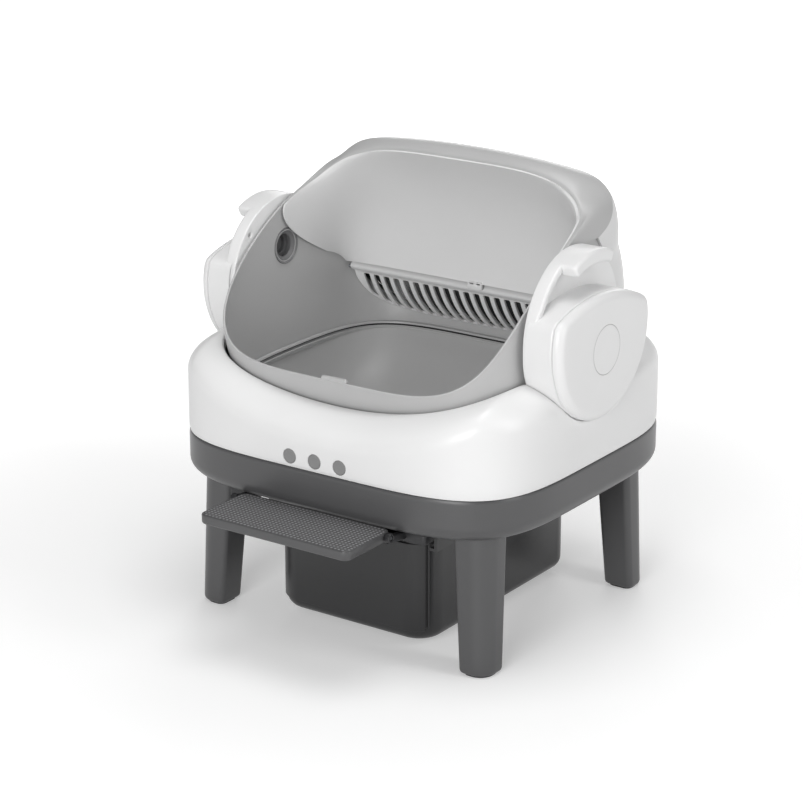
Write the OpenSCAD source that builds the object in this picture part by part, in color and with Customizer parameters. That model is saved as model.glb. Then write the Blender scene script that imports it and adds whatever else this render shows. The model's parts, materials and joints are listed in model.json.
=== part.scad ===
// Self-cleaning litter box: an open drum with a hood turns backwards between two side pods that
// lift out of a saddle-shaped housing, over a chassis on four legs with a waste drawer and a step.
// The origin is on the floor under the middle of the body. X runs to the right, Y to the back.

/* [Body] */
// How far the body reaches past each end of the drum
body_side = 44; // [42:1:60]
// How far the body reaches past the hood, in front and behind
body_rim = 28; // [24:1:40]
// Squareness of the body's outline
body_power = 4.4; // [4:0.1:6]
// How far the seam between chassis and housing lies below the front of the collar
seam_drop = 73; // [70:1:76]
// Height of the underside of the chassis
chassis_z = 180; // [176:1:183]
// Radius of the lower edge of the chassis
chassis_edge_r = 20; // [14:1:24]
// Wall of the casings
casing_wall = 3; // [2:0.5:4]
// How far the front of the collar round the drum lies below the drum's axis
collar_drop = 86; // [80:1:90]
// Radius of the saddle across the top of the housing
saddle_r = 479; // [440:1:600]
// Drop of the rounded shoulder of the housing
shoulder_drop = 42; // [30:1:48]
// Share of the housing's half width that lies inside the rounded shoulder
shoulder_start = 0.78; // [0.7:0.01:0.84]

/* [Drum] */
// Outer radius of the bowl
bowl_r = 204; // [200:1:230]
// How much wider the hood is than the bowl
hood_step = 4; // [3:0.5:5]
// Half length of the drum
drum_half = 216; // [212:0.5:245]
// Gap between the bowl and the floor of the chassis
drum_gap = 8; // [6:0.5:14]
// Squareness of the bowl's profile
bowl_power = 4.6; // [4:0.1:5.2]
// Squareness of the hood's profile
hood_power = 7.4; // [6:0.1:8]
// Wall of the drum
drum_wall = 3; // [2:0.5:3.5]
// Radius of the sloping rim seen from the side
rim_r = 520; // [480:5:600]
// How far the front of the rim lies below the axis
rim_front_drop = 62; // [56:1:68]
// Back end of the rim behind the axis
rim_back_y = 38; // [34:1:42]
// Back end of the rim above the axis
rim_back_rise = 124; // [118:1:128]
// Where the front of the hood lies behind the axis
hood_front_y = 74; // [66:1:78]
// Radius of the corner between the rim and the hood
hood_corner_r = 55; // [40:1:60]
// How much narrower the hood's opening is than the hood
lip_in = 18; // [16:1:22]
// Squareness of the hood's opening
lip_power = 4; // [3.4:0.1:4.6]
// Width of the front band of the hood
band_w = 42; // [34:1:48]
// How far the crease behind the band lies lower than the hood's opening
band_drop = 14; // [8:1:20]
// Bow of the front band of the hood
band_bow = 11; // [4:0.5:11.5]
// Gap round the drum at the collar
collar_gap = 3; // [2.5:0.1:5]
// Depth of the collar's edge, below which the well widens for the hood
collar_lip = 12; // [8:1:14]
// How far the litter liner's rim lies below the axis
liner_drop = 92; // [86:1:112]
// Height of the line above the axis where bowl and hood meet
split_rise = 103; // [100:1:106]
// Thickness of the litter liner
liner_t = 2.5; // [1.5:0.1:4]
// Width of the litter liner's rim
liner_rim_w = 6; // [4:0.5:9]

/* [Sifter] */
// How far the top edge of the grille lies in front of the back of the bowl
grille_top_in = 76; // [72:1:84]
// Top edge of the grille below the axis
grille_top_drop = 16; // [12:1:22]
// How far the bottom edge of the grille lies in front of the back of the bowl
grille_low_in = 20; // [20:1:28]
// Bottom edge of the grille below the axis
grille_low_drop = 83; // [76:1:84]
// Thickness of the grille
grille_t = 2.4; // [1.6:0.1:3]
// Bow of the grille seen from the side
grille_bow = 8; // [4:1:12]
// Distance from one slot to the next
slot_pitch = 16; // [14:1:22]
// Width of a slot
slot_w = 9.6; // [7:0.1:11]
// Number of slots
slot_count = 24; // [16:2:24]
// Radius of the grille's pivot pins
grille_pin_r = 2.5; // [1.5:0.1:3]

/* [Pods] */
// Gap between a pod and the end of the drum
pod_drum_gap = 2; // [2:0.1:4]
// Thickness of a pod's round plate
pod_plate_t = 8; // [6:0.5:9]
// Radius of a pod's round plate
pod_plate_r = 105; // [103:1:108]
// Radius of a pod's lower outline
pod_low_r = 107; // [104:1:109]
// Radius of a pod's upper outline
pod_top_r = 251; // [235:1:270]
// How far the top of a pod's outline lies above the axis
pod_top_rise = 58; // [54:1:60]
// Depth of a pod's casing
pod_case_w = 42; // [40:1:46]
// Thickness of a pod's cover
pod_cover_t = 12.5; // [9:0.5:16]
// Reach of the carrying handle
handle_reach = 38; // [30:1:40]
// Thickness of the carrying handle
handle_t = 15; // [12:1:18]
// First angle of the carrying handle round the plate
handle_from = 62; // [56:1:70]
// Last angle of the carrying handle round the plate
handle_to = 118; // [112:1:126]
// Width of the raised edge of the plate
plate_edge_w = 10; // [6:1:12]
// Height of the raised edge of the plate
plate_edge_h = 10; // [4:1:14]
// Gap between a pod and its seat in the housing
pod_gap = 0.4; // [0.3:0.1:1]

/* [Drive] */
// Radius of the drum's trunnions
trunnion_r = 15; // [12:0.5:15]
// Running clearance of the trunnions in their bushes
running_gap = 0.06; // [0.03:0.01:0.1]
// Wall of a trunnion's bush
bush_wall = 4; // [3:0.5:4]
// Module of the gear teeth
tooth_module = 1.9; // [1.8:0.05:1.95]
// Teeth on the drum gear
drum_teeth = 54; // [50:1:54]
// Teeth on the pinion
pinion_teeth = 12; // [11:1:13]
// Thickness of the gears
gear_t = 8; // [6:0.5:9]
// Angle of the pinion round the drum gear
pinion_angle = -25; // [-35:1:-15]
// Radius of the motor's gearbox
gearbox_r = 18; // [14:1:19]
// Radius of the motor
motor_r = 14; // [10:1:15]

/* [Deodoriser port] */
// Radius of the port in the left wall of the drum
port_r = 20; // [16:1:21]
// Port behind the axis
port_y = -9; // [-14:1:-4]
// Port above the axis
port_rise = 43; // [41:1:48]

/* [Legs] */
// Middle of a foot from the side of the body
foot_side = 57; // [52:1:62]
// Middle of a foot from the front or back of the body
foot_front = 63; // [58:1:68]
// Lean of a leg from foot to top
leg_lean = 8; // [0:1:10]
// Width of a leg at the foot
foot_w = 42; // [38:1:46]
// Width of a leg at the top
leg_top_w = 50; // [46:1:54]
// Thickness of the rubber foot pads
pad_t = 3; // [2:0.5:5]
// Radius of the leg bolts
leg_bolt_r = 4; // [3:0.5:5]

/* [Waste drawer] */
// Width of the drawer
drawer_w = 234; // [200:1:236]
// Front of the drawer behind the front of the body
drawer_front_in = 69; // [64:1:74]
// Back of the drawer from the back of the body
drawer_back_in = 59; // [56:1:86]
// Height of the drawer's underside above the floor
drawer_low_z = 9; // [6:1:30]
// Height of the drawer's rim
drawer_top_z = 145; // [138:1:148]
// Corner radius of the drawer
drawer_corner_r = 36; // [24:1:40]
// Radius of the drawer's lower edge
drawer_edge_r = 15; // [8:1:20]
// Wall of the drawer
drawer_wall = 2.5; // [2:0.1:4]
// Thickness of the drawer's front panel
drawer_front_t = 3; // [2:0.5:4]
// Reach of the drawer's rim flange
flange_w = 8; // [6:0.5:9]
// Sliding gap between the flange and its rails
slide_gap = 0.4; // [0.3:0.1:1]

/* [Waste chute] */
// Width of the chute
chute_w = 186; // [150:1:200]
// Front of the chute from the middle of the body
chute_front_y = -128; // [-135:1:-100]
// Back of the chute from the middle of the body
chute_back_y = 70; // [40:1:100]

/* [Step] */
// Width of the step
step_w = 216; // [190:1:230]
// How far the step reaches past the front of the body
step_reach = 87; // [74:1:104]
// Thickness of the step
step_t = 12.5; // [10:0.5:14]
// Gap between the step and the front of the chassis
step_gap = 1.5; // [1.2:0.1:3]
// Corner radius of the step
step_corner_r = 10; // [6:1:16]
// Thickness of the tread on the step
tread_t = 1.2; // [0.8:0.1:2]
// Border of the step round the tread
tread_border = 6; // [4:0.5:10]
// Radius of the step's hinge pins
step_pin_r = 3; // [2:0.1:3.5]

/* [Buttons] */
// Radius of a button
button_r = 9.4; // [7:0.1:11]
// Distance from one button to the next
button_pitch = 37.5; // [30:0.5:45]
// Height of the buttons above the seam
button_rise = 14; // [12:1:16]
// Clearance round a button
button_gap = 0.4; // [0.2:0.1:0.8]
// Travel of a button
button_travel = 1; // [0.6:0.1:1.4]

/* [Hidden] */

fine = 96;
outline_steps = 72;
profile_steps = 44;
far = 900;
cut = 1;
skin = 0.3;

white = "whitesmoke";
pale_grey = "silver";
mid_grey = "darkgray";
charcoal = "dimgray";
black_grey = "darkslategray";
steel = "lightsteelblue";

floor_z = chassis_z + casing_wall;
axis_z = floor_z + drum_gap + bowl_r;
hood_r = bowl_r + hood_step;
half_w = drum_half + body_side;
half_d = hood_r + body_rim;
collar_z = axis_z - collar_drop;
seam_z = collar_z - seam_drop;
skirt_low_z = chassis_z + 20;
skirt_in = 8;
well_r = hood_r + 4;
well_half = drum_half + 3.5;
saddle_half = drum_half - 1;

screw_r = 2;
screw_head_r = screw_r + 2;
screw_head_t = 2;
hole_gap = 0.2;
screw_y = 120;
screw_x = body_x(screw_y) - 23;
screw_reach = 30;
screw_low_z = seam_z - screw_reach;
screw_depth = 17;
post_r = 6;
post_h = 22;
post_rib_t = 4;

rim_front = [-bowl_r, axis_z - rim_front_drop];
rim_back = [rim_back_y, axis_z + rim_back_rise];
rim_chord = rim_back - rim_front;
rim_centre = (rim_front + rim_back) / 2 + [rim_chord[1], -rim_chord[0]]
    * sqrt(pow(rim_r / norm(rim_chord), 2) - 0.25);
rim_from = 155;
corner_centre_y = hood_front_y - hood_corner_r;
corner_reach = rim_r + hood_corner_r;
corner_offset_y = rim_centre[0] - corner_centre_y;
corner_centre = [corner_centre_y,
    rim_centre[1] + sqrt(corner_reach * corner_reach - corner_offset_y * corner_offset_y)];
corner_angle = atan2(rim_centre[1] - corner_centre[1], rim_centre[0] - corner_centre[0]);
split_z = axis_z + split_rise;
split_y = rim_centre[0] + band_w - sqrt(pow(rim_r, 2) - pow(split_z - rim_centre[1] + band_drop, 2));
split_low_step = [21, -16];

lip_r = hood_r - lip_in;
lip_half = drum_half + 1.5;
band_cols = 44;
band_rows = 8;
band_from = 28;
bow_power = 1.2;
shell_rows = 12;
shell_end = -32;
blend_from = 26;
blend_to = 53;

grille_top = [bowl_r - grille_top_in, axis_z - grille_top_drop];
grille_low = [bowl_r - grille_low_in, axis_z - grille_low_drop];
split_low = grille_low + split_low_step;
grille_pivot = grille_top + [-3, 2];
grille_angle = atan2(grille_low[1] - grille_top[1], grille_low[0] - grille_top[0]);
grille_len = norm(grille_low - grille_top);
grille_bow_r = (grille_len * grille_len / 4 + grille_bow * grille_bow) / (2 * grille_bow);
grille_gap = 1.2;
grille_header_half = drum_half - 12.5;
slot_from = 8;
slot_margin = 5;
slot_min = 14;
pin_cover = 1.4;
pin_half = roll_radius(drum_half, bowl_r, bowl_power, norm(grille_pivot - [0, axis_z])) - pin_cover;
pin_shell = 1.1;

header_gap = 2;
panel_low = grille_top + [-9, 12];
panel_half = drum_half - drum_wall - 2 * skin;
panel_cols = 32;
panel_rows = 10;
panel_from = 29;
panel_t = 2.4;
panel_bow = 30;
panel_side_bow = 20;
panel_end = hood_edge(lip_r - drum_wall - skin, lip_half - drum_wall - skin, lip_power, panel_from, [skin, 0]);
catch_w = 22;
catch_h = 10;
catch_t = 5;

liner_outer_r = bowl_r - drum_wall - skin;
liner_outer_half = drum_half - drum_wall - skin;
liner_z = axis_z - liner_drop;
liner_rim_t = 3;
tab_w = 38;
tab_h = 9;
tab_rise = 3;
tab_t = 2.5;
rim_front_z = rim_centre[1] + sqrt(pow(rim_r, 2) - pow(rim_centre[0] + liner_outer_r, 2));

pod_x = drum_half + pod_drum_gap;
pod_case_x = pod_x + pod_case_w;
pod_cover_x = pod_case_x + pod_cover_t;
plate_back_x = pod_x + pod_plate_t;
plate_mid_x = pod_x + pod_plate_t / 2;
plate_centre = [-8, axis_z + 5];
low_centre = [-8, axis_z + 6];
top_centre = [-16.5, axis_z + pod_top_rise - pod_top_r];
edge_to = 190;
contact_x = pod_x + 25;
contact_pitch = 10;
contact_half = 2;
contact_len = 4;
contact_room = 1;
contact_top_z = low_centre[1] - pod_low_r - pod_gap;
contact_low_z = contact_top_z - casing_wall;

gear_x = plate_back_x + 3.5;
gear_r = tooth_module * drum_teeth / 2;
pinion_r = tooth_module * pinion_teeth / 2;
pinion_y = (gear_r + pinion_r) * cos(pinion_angle);
pinion_z = axis_z + (gear_r + pinion_r) * sin(pinion_angle);
tooth_tip = 0.9;
tooth_root = 1.25;
tooth_foot = 1.5;
tooth_foot_half = 0.82;
tooth_tip_half = 0.38;
shaft_r = 3;
key_r = trunnion_r - 3;
trunnion_collar_r = trunnion_r + 4;
gearbox_x = gear_x + gear_t + 1;
motor_seat = 4;
gearbox_len = pod_case_x - gearbox_x - 2 * motor_seat;
motor_x = gearbox_x + motor_seat;
bush_r = trunnion_r + running_gap + bush_wall;
bush_collar_r = bush_r + 2;
bush_len = pod_plate_t + 3;

port_z = axis_z + port_rise;
port_wall = 2;
cup_r = port_r + 1;
cup_rim_r = port_r + 3;
cup_depth = 13;
cup_seat_depth = 6;
cup_inner_r = port_r - 8;
cup_recess = 1;
port_lip = 1;
sensor_y = -63;
sensor_rise = 62;
sensor_place = [sensor_y, axis_z + sensor_rise];
sensor_eye_r = 3;
sensor_flange_w = 2;
sensor_len = 8;
sensor_recess = 1.5;

foot_x = half_w - foot_side;
foot_y = half_d - foot_front;
leg_top_z = chassis_z + 12;
leg_x = foot_x - leg_lean;
leg_y = foot_y - leg_lean;
leg_corner_r = 20;
leg_edge_r = 8;
foot_in = 6;
pad_in = 2;
foot_mid_in = 1.6;
foot_mid_h = 1.2;
foot_round_h = 4;
bolt_head_share = 1.8;
leg_bolt_len = 40;
weigh_t = 5;
weigh_r = 13;

drawer_front_y = -half_d + drawer_front_in;
drawer_back_y = half_d - drawer_back_in;
flange_t = 4;
flange_z = drawer_top_z - flange_t;
rail_x = drawer_w / 2 + flange_w + slide_gap;
rail_t = 4;
rail_lip_t = 3.5;
rail_lip_w = flange_w - 2;
rail_lip_z = flange_z - slide_gap;
rail_front_y = drawer_front_y + 6;
rail_back_y = drawer_back_y + 6;
rail_screw_x = rail_x + 1;
rail_screw_in = [40, 50];
rail_screw_y = [drawer_front_y + rail_screw_in[0], drawer_back_y - rail_screw_in[1]];
rail_pad = [6, 8, 5];
bin_front_y = drawer_front_y + drawer_front_t;
drawer_mid_y = (bin_front_y + drawer_back_y) / 2;
drawer_half_d = (drawer_back_y - bin_front_y) / 2;
bag_ring_h = 10;
bag_ring_rise = 2;
bag_ring_w = 6;
pull_w = 130;
pull_reach = 9;
pull_t = 4;
chute_wall = 2.5;

step_front_y = -half_d - step_reach;
step_top_z = chassis_z + 5.7;
edge_centre_y = -half_d + chassis_edge_r;
step_back_y = edge_centre_y
    - sqrt(pow(chassis_edge_r + step_gap, 2) - pow(chassis_z + chassis_edge_r - step_top_z, 2));
step_pivot = [step_back_y - 12, step_top_z - 5.2];
pin_depth = 12;
tread_gap = 0.1;
bracket_t = 11.5;
bracket_gap = 1;
bracket_r = 6.3;
bracket_toe = [5, 2];
bracket_x = step_w / 2 + bracket_gap;
bracket_foot_w = 36;
bracket_back_y = edge_centre_y + 22;
bracket_low_z = chassis_z - 12;

button_z = seam_z + button_rise;
button_face_y = -half_d - skin;
button_len = 9.4;
button_collar_t = 1.5;
button_collar_w = 2;
board_y = -half_d + 16;
board_z = button_z + 2;
board_t = 1.6;
board_half_h = 12;
board_post_x = 60;
board_post_r = 4;
board_end = 8;
switch_y = button_face_y + button_len + button_travel + skin;
switch_half = 3;
switch_stem_r = 1.7;
switch_stem = 1.6;

inlet_x = 120;
inlet_rise = 6;
inlet_z = (chassis_z + seam_z) / 2 + inlet_rise;
inlet_r = 5.5;
inlet_bore_r = 2.75;
inlet_len = 14;
inlet_depth = 11;
inlet_flange = 1.5;
inlet_back_y = body_y(inlet_x);

// Points on an outline between a rectangle and an ellipse
function squircle(a, b, power) = [for (i = [0 : outline_steps - 1])
    let (t = 360 * i / outline_steps, c = cos(t), s = sin(t))
    [a * sign(c) * pow(abs(c), 2 / power), b * sign(s) * pow(abs(s), 2 / power)]];

// Points on an arc, counted with the angle
function arc(centre, r, from, to, steps) = [for (i = [0 : steps])
    let (t = from + (to - from) * i / steps) [centre[0] + r * cos(t), centre[1] + r * sin(t)]];

// Points on a rectangle with round corners
function rounded(a, b, r) = concat(arc([a - r, b - r], r, 0, 90, 6), arc([r - a, b - r], r, 90, 180, 6),
    arc([r - a, r - b], r, 180, 270, 6), arc([a - r, r - b], r, 270, 360, 6));

// Half width of the body at a distance from its middle
function body_x(y) = half_w * pow(1 - pow(abs(y) / half_d, body_power), 1 / body_power);

function body_y(x) = half_d * pow(1 - pow(abs(x) / half_w, body_power), 1 / body_power);

function lifted(points, z) = [for (p = points) [p[0], p[1], z]];
function moved(points, step) = [for (p = points) [p[0] + step[0], p[1] + step[1]]];

// Half profile of the drum, from one end of its axis to the other
function roll_profile(r, half, power) = [for (i = [0 : profile_steps])
    let (t = 180 * i / profile_steps)
    [r * pow(max(sin(t), 0), 2 / power), -half * sign(cos(t)) * pow(abs(cos(t)), 2 / power)]];

// Radius of a roll at a distance from its middle
function roll_radius(r, half, power, x) = r * pow(1 - pow(min(abs(x) / half, 1), power), 1 / power);

// Height of the saddle-shaped top, and of the shoulder that rounds it off
function saddle_z(x) = collar_z + pow(min(abs(x), saddle_half), 2) / (2 * saddle_r);
function shoulder(share) = let (k = max(0, (share - shoulder_start) / (1 - shoulder_start)))
    1 - sqrt(max(0, 1 - k * k));
function housing_ring(share, inset) = [for (p = squircle(half_w - inset, half_d - inset, body_power))
    [p[0] * share, p[1] * share, saddle_z(p[0] * share) - shoulder_drop * shoulder(share) - inset]];

// Outline of the drum's opening seen from the side, with the part that is cut away inside it
function opening() = concat(
    arc(rim_centre, rim_r, rim_from, 180 + corner_angle, 16),
    arc(corner_centre, hood_corner_r, corner_angle, 0, 10),
    [[hood_front_y, far], [-far, far], [-far, 0]]);

// Line along which bowl and hood meet, with all that lies above and behind it
function behind_split(gap) = [[-far, split_z + gap], [split_y + gap, split_z + gap],
    [split_low[0] + gap, split_low[1]], [far, split_low[1]], [far, far], [-far, far]];

// The shell between a lower and an upper ring of points, with the rings between them
module loft(rings) {
    n = len(rings[0]);
    m = len(rings);
    low = [for (axis = [0 : 2]) [for (p = rings[0]) p[axis]] * [for (p = rings[0]) 1 / n]];
    high = [for (axis = [0 : 2]) [for (p = rings[m - 1]) p[axis]] * [for (p = rings[m - 1]) 1 / n]];
    polyhedron(
        points = concat([for (ring = rings) each ring], [low, high]),
        faces = concat(
            [for (i = [0 : n - 1]) [i, (i + 1) % n, n * m]],
            [for (i = [0 : n - 1]) [(m - 1) * n + (i + 1) % n, (m - 1) * n + i, n * m + 1]],
            [for (k = [0 : m - 2], i = [0 : n - 1]) [k * n + i, (k + 1) * n + i, k * n + (i + 1) % n]],
            [for (k = [0 : m - 2], i = [0 : n - 1])
                [(k + 1) * n + i, (k + 1) * n + (i + 1) % n, k * n + (i + 1) % n]]));
}

function quad(a, b, c, d) = [[a, b, c], [a, c, d]];

// A thin wall between two grids of points with as many rows and columns
module sheet(front, back) {
    rows = len(front);
    n = len(front[0]);
    all = rows * n;
    last = (rows - 1) * n;
    polyhedron(
        points = concat([for (row = front) each row], [for (row = back) each row]),
        faces = concat(
            [for (k = [0 : rows - 2], i = [0 : n - 2]) let (a = k * n + i)
                each quad(a, a + 1, a + n + 1, a + n)],
            [for (k = [0 : rows - 2], i = [0 : n - 2]) let (a = all + k * n + i)
                each quad(a, a + n, a + n + 1, a + 1)],
            [for (i = [0 : n - 2]) each quad(i, all + i, all + i + 1, i + 1)],
            [for (i = [0 : n - 2]) let (a = last + i) each quad(a, a + 1, all + a + 1, all + a)],
            [for (k = [0 : rows - 2]) let (a = k * n) each quad(a, a + n, all + a + n, all + a)],
            [for (k = [0 : rows - 2]) let (a = k * n + n - 1)
                each quad(a, all + a, all + a + n, a + n)]));
}

// A solid turned about the drum's axis
module roll(r, half, power)
    translate([0, 0, axis_z]) rotate([0, 90, 0]) rotate_extrude($fn = fine)
        polygon(roll_profile(r, half, power));

// A shape drawn in the side view, where the first number is Y and the second is Z
module side_plate(x0, x1) translate([x0, 0, 0]) rotate([90, 0, 90])
    linear_extrude(height = x1 - x0) children();
module side_prism() side_plate(-half_w - 30, half_w + 30) children();

module rod_x(x0, x1, r, place) translate([x0, place[0], place[1]]) rotate([0, 90, 0])
    cylinder(h = x1 - x0, r = r, $fn = fine);
module rod_y(y0, y1, r, x, z) translate([x, y0, z]) rotate([-90, 0, 0])
    cylinder(h = y1 - y0, r = r, $fn = 48);
module rod_z(z0, z1, r, x, y) translate([x, y, z0]) cylinder(h = z1 - z0, r = r, $fn = 48);
module box(low, high) translate(low) cube(high - low);

module both_sides() {
    children();
    mirror([1, 0, 0]) children();
}

module at_corners(x, y)
    for (sx = [-1, 1], sy = [-1, 1]) translate([sx * x, sy * y, 0]) children();

// Chassis
module chassis_form(inset) {
    r = chassis_edge_r;
    loft([for (t = [0 : 15 : 90])
        lifted(squircle(half_w - r + (r - inset) * sin(t), half_d - r + (r - inset) * sin(t), body_power),
            chassis_z + r - (r - inset) * cos(t)),
        lifted(squircle(half_w - inset, half_d - inset, body_power), seam_z + (inset > 0 ? 1 : 0))]);
}

module chassis_tray() color(charcoal) difference() {
    union() {
        difference() {
            chassis_form(0);
            chassis_form(casing_wall);
        }
        at_corners(screw_x, screw_y) rod_z(chassis_z + cut, seam_z, post_r, 0, 0);
    }
    box([-chute_w / 2, chute_front_y, chassis_z - cut], [chute_w / 2, chute_back_y, floor_z + cut]);
    at_corners(screw_x, screw_y) {
        rod_z(chassis_z - cut, seam_z + cut, screw_r + hole_gap, 0, 0);
        rod_z(chassis_z - cut, screw_low_z, screw_head_r + hole_gap, 0, 0);
    }
    at_corners(leg_x, leg_y) rod_z(chassis_z - cut, floor_z + cut, leg_bolt_r + hole_gap, 0, 0);
    rod_y(inlet_back_y - 2 * casing_wall, half_d + cut, inlet_r + hole_gap, inlet_x, inlet_z);
    at_rail_screws() rod_z(chassis_z - cut, floor_z + cut, screw_r + hole_gap, 0, 0);
}

module at_rail_screws() for (sx = [-1, 1], y = rail_screw_y)
    translate([sx * rail_screw_x, y, 0]) children();

// Housing
module drum_well(grow) {
    intersection() {
        roll(well_r + grow, well_half + grow, hood_power);
        union() {
            housing_form(collar_lip - grow);
            box([-half_w, 0, 0], [half_w, half_d, far]);
            box([-half_w, -half_d, 0], [half_w, half_d, seam_z]);
        }
    }
    roll(bowl_r + collar_gap + grow, well_half + grow, bowl_power);
}

module housing_form(inset) {
    shares = [1, 0.99, 0.97, 0.94, 0.9, 0.85, shoulder_start, 0.5];
    loft(concat(
        [lifted(squircle(half_w - inset, half_d - inset, body_power), seam_z - (inset > 0 ? 1 : 0))],
        [for (share = shares) housing_ring(share, inset)]));
}

// Seat of a pod in the housing, open towards the top
module pod_seat() both_sides() side_plate(pod_x - 0.5, pod_cover_x + 20) {
    translate(low_centre) circle(r = pod_low_r + pod_gap, $fn = fine);
    translate([low_centre[0] - pod_low_r - pod_gap, low_centre[1]])
        square([2 * (pod_low_r + pod_gap), far]);
}

module upper_housing() color(white) difference() {
    union() {
        difference() {
            housing_form(0);
            difference() {
                housing_form(casing_wall);
                drum_well(casing_wall);
                pod_pocket();
            }
        }
        intersection() {
            difference() {
                drum_well(casing_wall);
                drum_well(0);
            }
            box([-half_w + skirt_in, -half_d + skirt_in, skirt_low_z],
                [half_w - skirt_in, half_d - skirt_in, seam_z + 2 * cut]);
        }
        at_corners(screw_x, screw_y) rod_z(seam_z, seam_z + post_h, post_r, 0, 0);
        at_corners(0, screw_y) both_sides() box([screw_x, -post_rib_t / 2, seam_z],
            [body_x(screw_y) - casing_wall / 2, post_rib_t / 2, seam_z + post_h]);
        both_sides() rod_y(-half_d + cut, board_y, board_post_r, board_post_x, board_z);
    }
    drum_well(0);
    pod_seat();
    at_corners(screw_x, screw_y) rod_z(seam_z - cut, seam_z + screw_depth + cut, screw_r, 0, 0);
    for (i = [-1 : 1]) rod_y(-half_d - cut, -half_d + casing_wall + cut, button_r + button_gap,
        i * button_pitch, button_z);
    at_contacts() box([-contact_half, -contact_half, contact_low_z - cut],
        [contact_half, contact_half, contact_top_z]);
    at_contacts() box(-(contact_half + skin) * [1, 1, 0] + [0, 0, contact_top_z],
        (contact_half + skin) * [1, 1, 0] + [0, 0, contact_top_z + cut]);
}

// Three spring contacts under the right pod
module at_contacts() for (i = [-1 : 1])
    translate([contact_x, low_centre[0] + i * contact_pitch, 0]) children();

// The wall that closes the housing under a pod
module pod_pocket() both_sides() side_plate(pod_x - casing_wall, pod_cover_x + 20) {
    translate(low_centre) circle(r = pod_low_r + pod_gap + casing_wall, $fn = fine);
    translate([low_centre[0] - pod_low_r - pod_gap - casing_wall, low_centre[1]])
        square([2 * (pod_low_r + pod_gap + casing_wall), far]);
}

// Legs: each has one large round corner, which points outwards
function leg_section(w, r) = let (e = w / 2 - leg_edge_r)
    concat(arc([w / 2 - r, w / 2 - r], r, 0, 90, 10), arc([-e, e], leg_edge_r, 90, 180, 4),
        arc([-e, -e], leg_edge_r, 180, 270, 4), arc([e, -e], leg_edge_r, 270, 360, 4));

module at_leg(sx, sy) mirror([1 - sx, 0, 0]) mirror([0, 1 - sy, 0]) children();

module leg(sx, sy) color(charcoal) difference() {
    at_leg(sx, sy) loft([
        lifted(moved(leg_section(foot_w - foot_in, leg_corner_r), [foot_x, foot_y]), pad_t),
        lifted(moved(leg_section(foot_w - foot_mid_in, leg_corner_r + foot_in / 3), [foot_x, foot_y]),
            pad_t + foot_mid_h),
        lifted(moved(leg_section(foot_w, leg_corner_r + foot_in / 2), [foot_x, foot_y]), pad_t + foot_round_h),
        lifted(moved(leg_section(leg_top_w, leg_corner_r + leg_edge_r), [leg_x, leg_y]), leg_top_z)]);
    chassis_form(0);
    rod_z(chassis_z - leg_bolt_len, chassis_z + 20, leg_bolt_r, sx * leg_x, sy * leg_y);
}

module leg_front_left() leg(-1, -1);
module leg_front_right() leg(1, -1);
module leg_rear_left() leg(-1, 1);
module leg_rear_right() leg(1, 1);

module foot_pads() color(black_grey) for (sx = [-1, 1], sy = [-1, 1]) at_leg(sx, sy)
    linear_extrude(height = pad_t)
        polygon(moved(leg_section(foot_w - foot_in - 2 * pad_in, leg_corner_r - pad_in), [foot_x, foot_y]));

module leg_bolts() color(steel) at_corners(leg_x, leg_y) {
    rod_z(chassis_z - leg_bolt_len + cut, floor_z + weigh_t, leg_bolt_r, 0, 0);
    rod_z(floor_z + weigh_t, floor_z + 2 * weigh_t, leg_bolt_r * bolt_head_share, 0, 0);
}

module weight_sensors() color(steel) at_corners(leg_x, leg_y) difference() {
    rod_z(floor_z, floor_z + weigh_t, weigh_r, 0, 0);
    rod_z(floor_z - cut, floor_z + weigh_t + cut, leg_bolt_r, 0, 0);
}

module control_board() color("darkgreen")
    box([-board_post_x - board_end, board_y, board_z - board_half_h],
        [board_post_x + board_end, board_y + board_t, board_z + board_half_h]);

module button_switches() color(steel) for (i = [-1 : 1]) {
    box([i * button_pitch - switch_half, switch_y + switch_stem, button_z - switch_half],
        [i * button_pitch + switch_half, board_y, button_z + switch_half]);
    rod_y(switch_y, switch_y + switch_stem, switch_stem_r, i * button_pitch, button_z);
}

module power_inlet() color("black") difference() {
    union() {
        rod_y(inlet_back_y - inlet_len, inlet_back_y, inlet_r, inlet_x, inlet_z);
        rod_y(inlet_back_y - inlet_len, inlet_back_y - 2 * casing_wall, inlet_r + inlet_flange,
            inlet_x, inlet_z);
    }
    rod_y(inlet_back_y - inlet_depth, inlet_back_y + cut, inlet_bore_r, inlet_x, inlet_z);
}

module chute_box(inset, z0, z1) box([-chute_w / 2 + inset, chute_front_y + inset, z0],
    [chute_w / 2 - inset, chute_back_y - inset, z1]);

module waste_chute() color(black_grey) difference() {
    chute_box(hole_gap, drawer_top_z + bag_ring_rise, floor_z - cut);
    chute_box(hole_gap + chute_wall, drawer_top_z, floor_z + cut);
}

module drawer_rail_right() color(black_grey) difference() {
    union() {
        box([rail_x, rail_front_y, rail_lip_z - rail_lip_t], [rail_x + rail_t, rail_back_y, chassis_z]);
        box([rail_x - rail_lip_w, rail_front_y, rail_lip_z - rail_lip_t],
            [rail_x + rail_t / 2, rail_back_y, rail_lip_z]);
        for (y = rail_screw_y) box([rail_screw_x - rail_pad[0], y - rail_pad[1], chassis_z - rail_pad[2]],
            [rail_screw_x + rail_pad[1], y + rail_pad[1], chassis_z]);
    }
    at_rail_screws() rod_z(chassis_z - rail_pad[2] - cut, chassis_z + cut, screw_r, 0, 0);
}

module drawer_rail_left() mirror([1, 0, 0]) drawer_rail_right();

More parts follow.
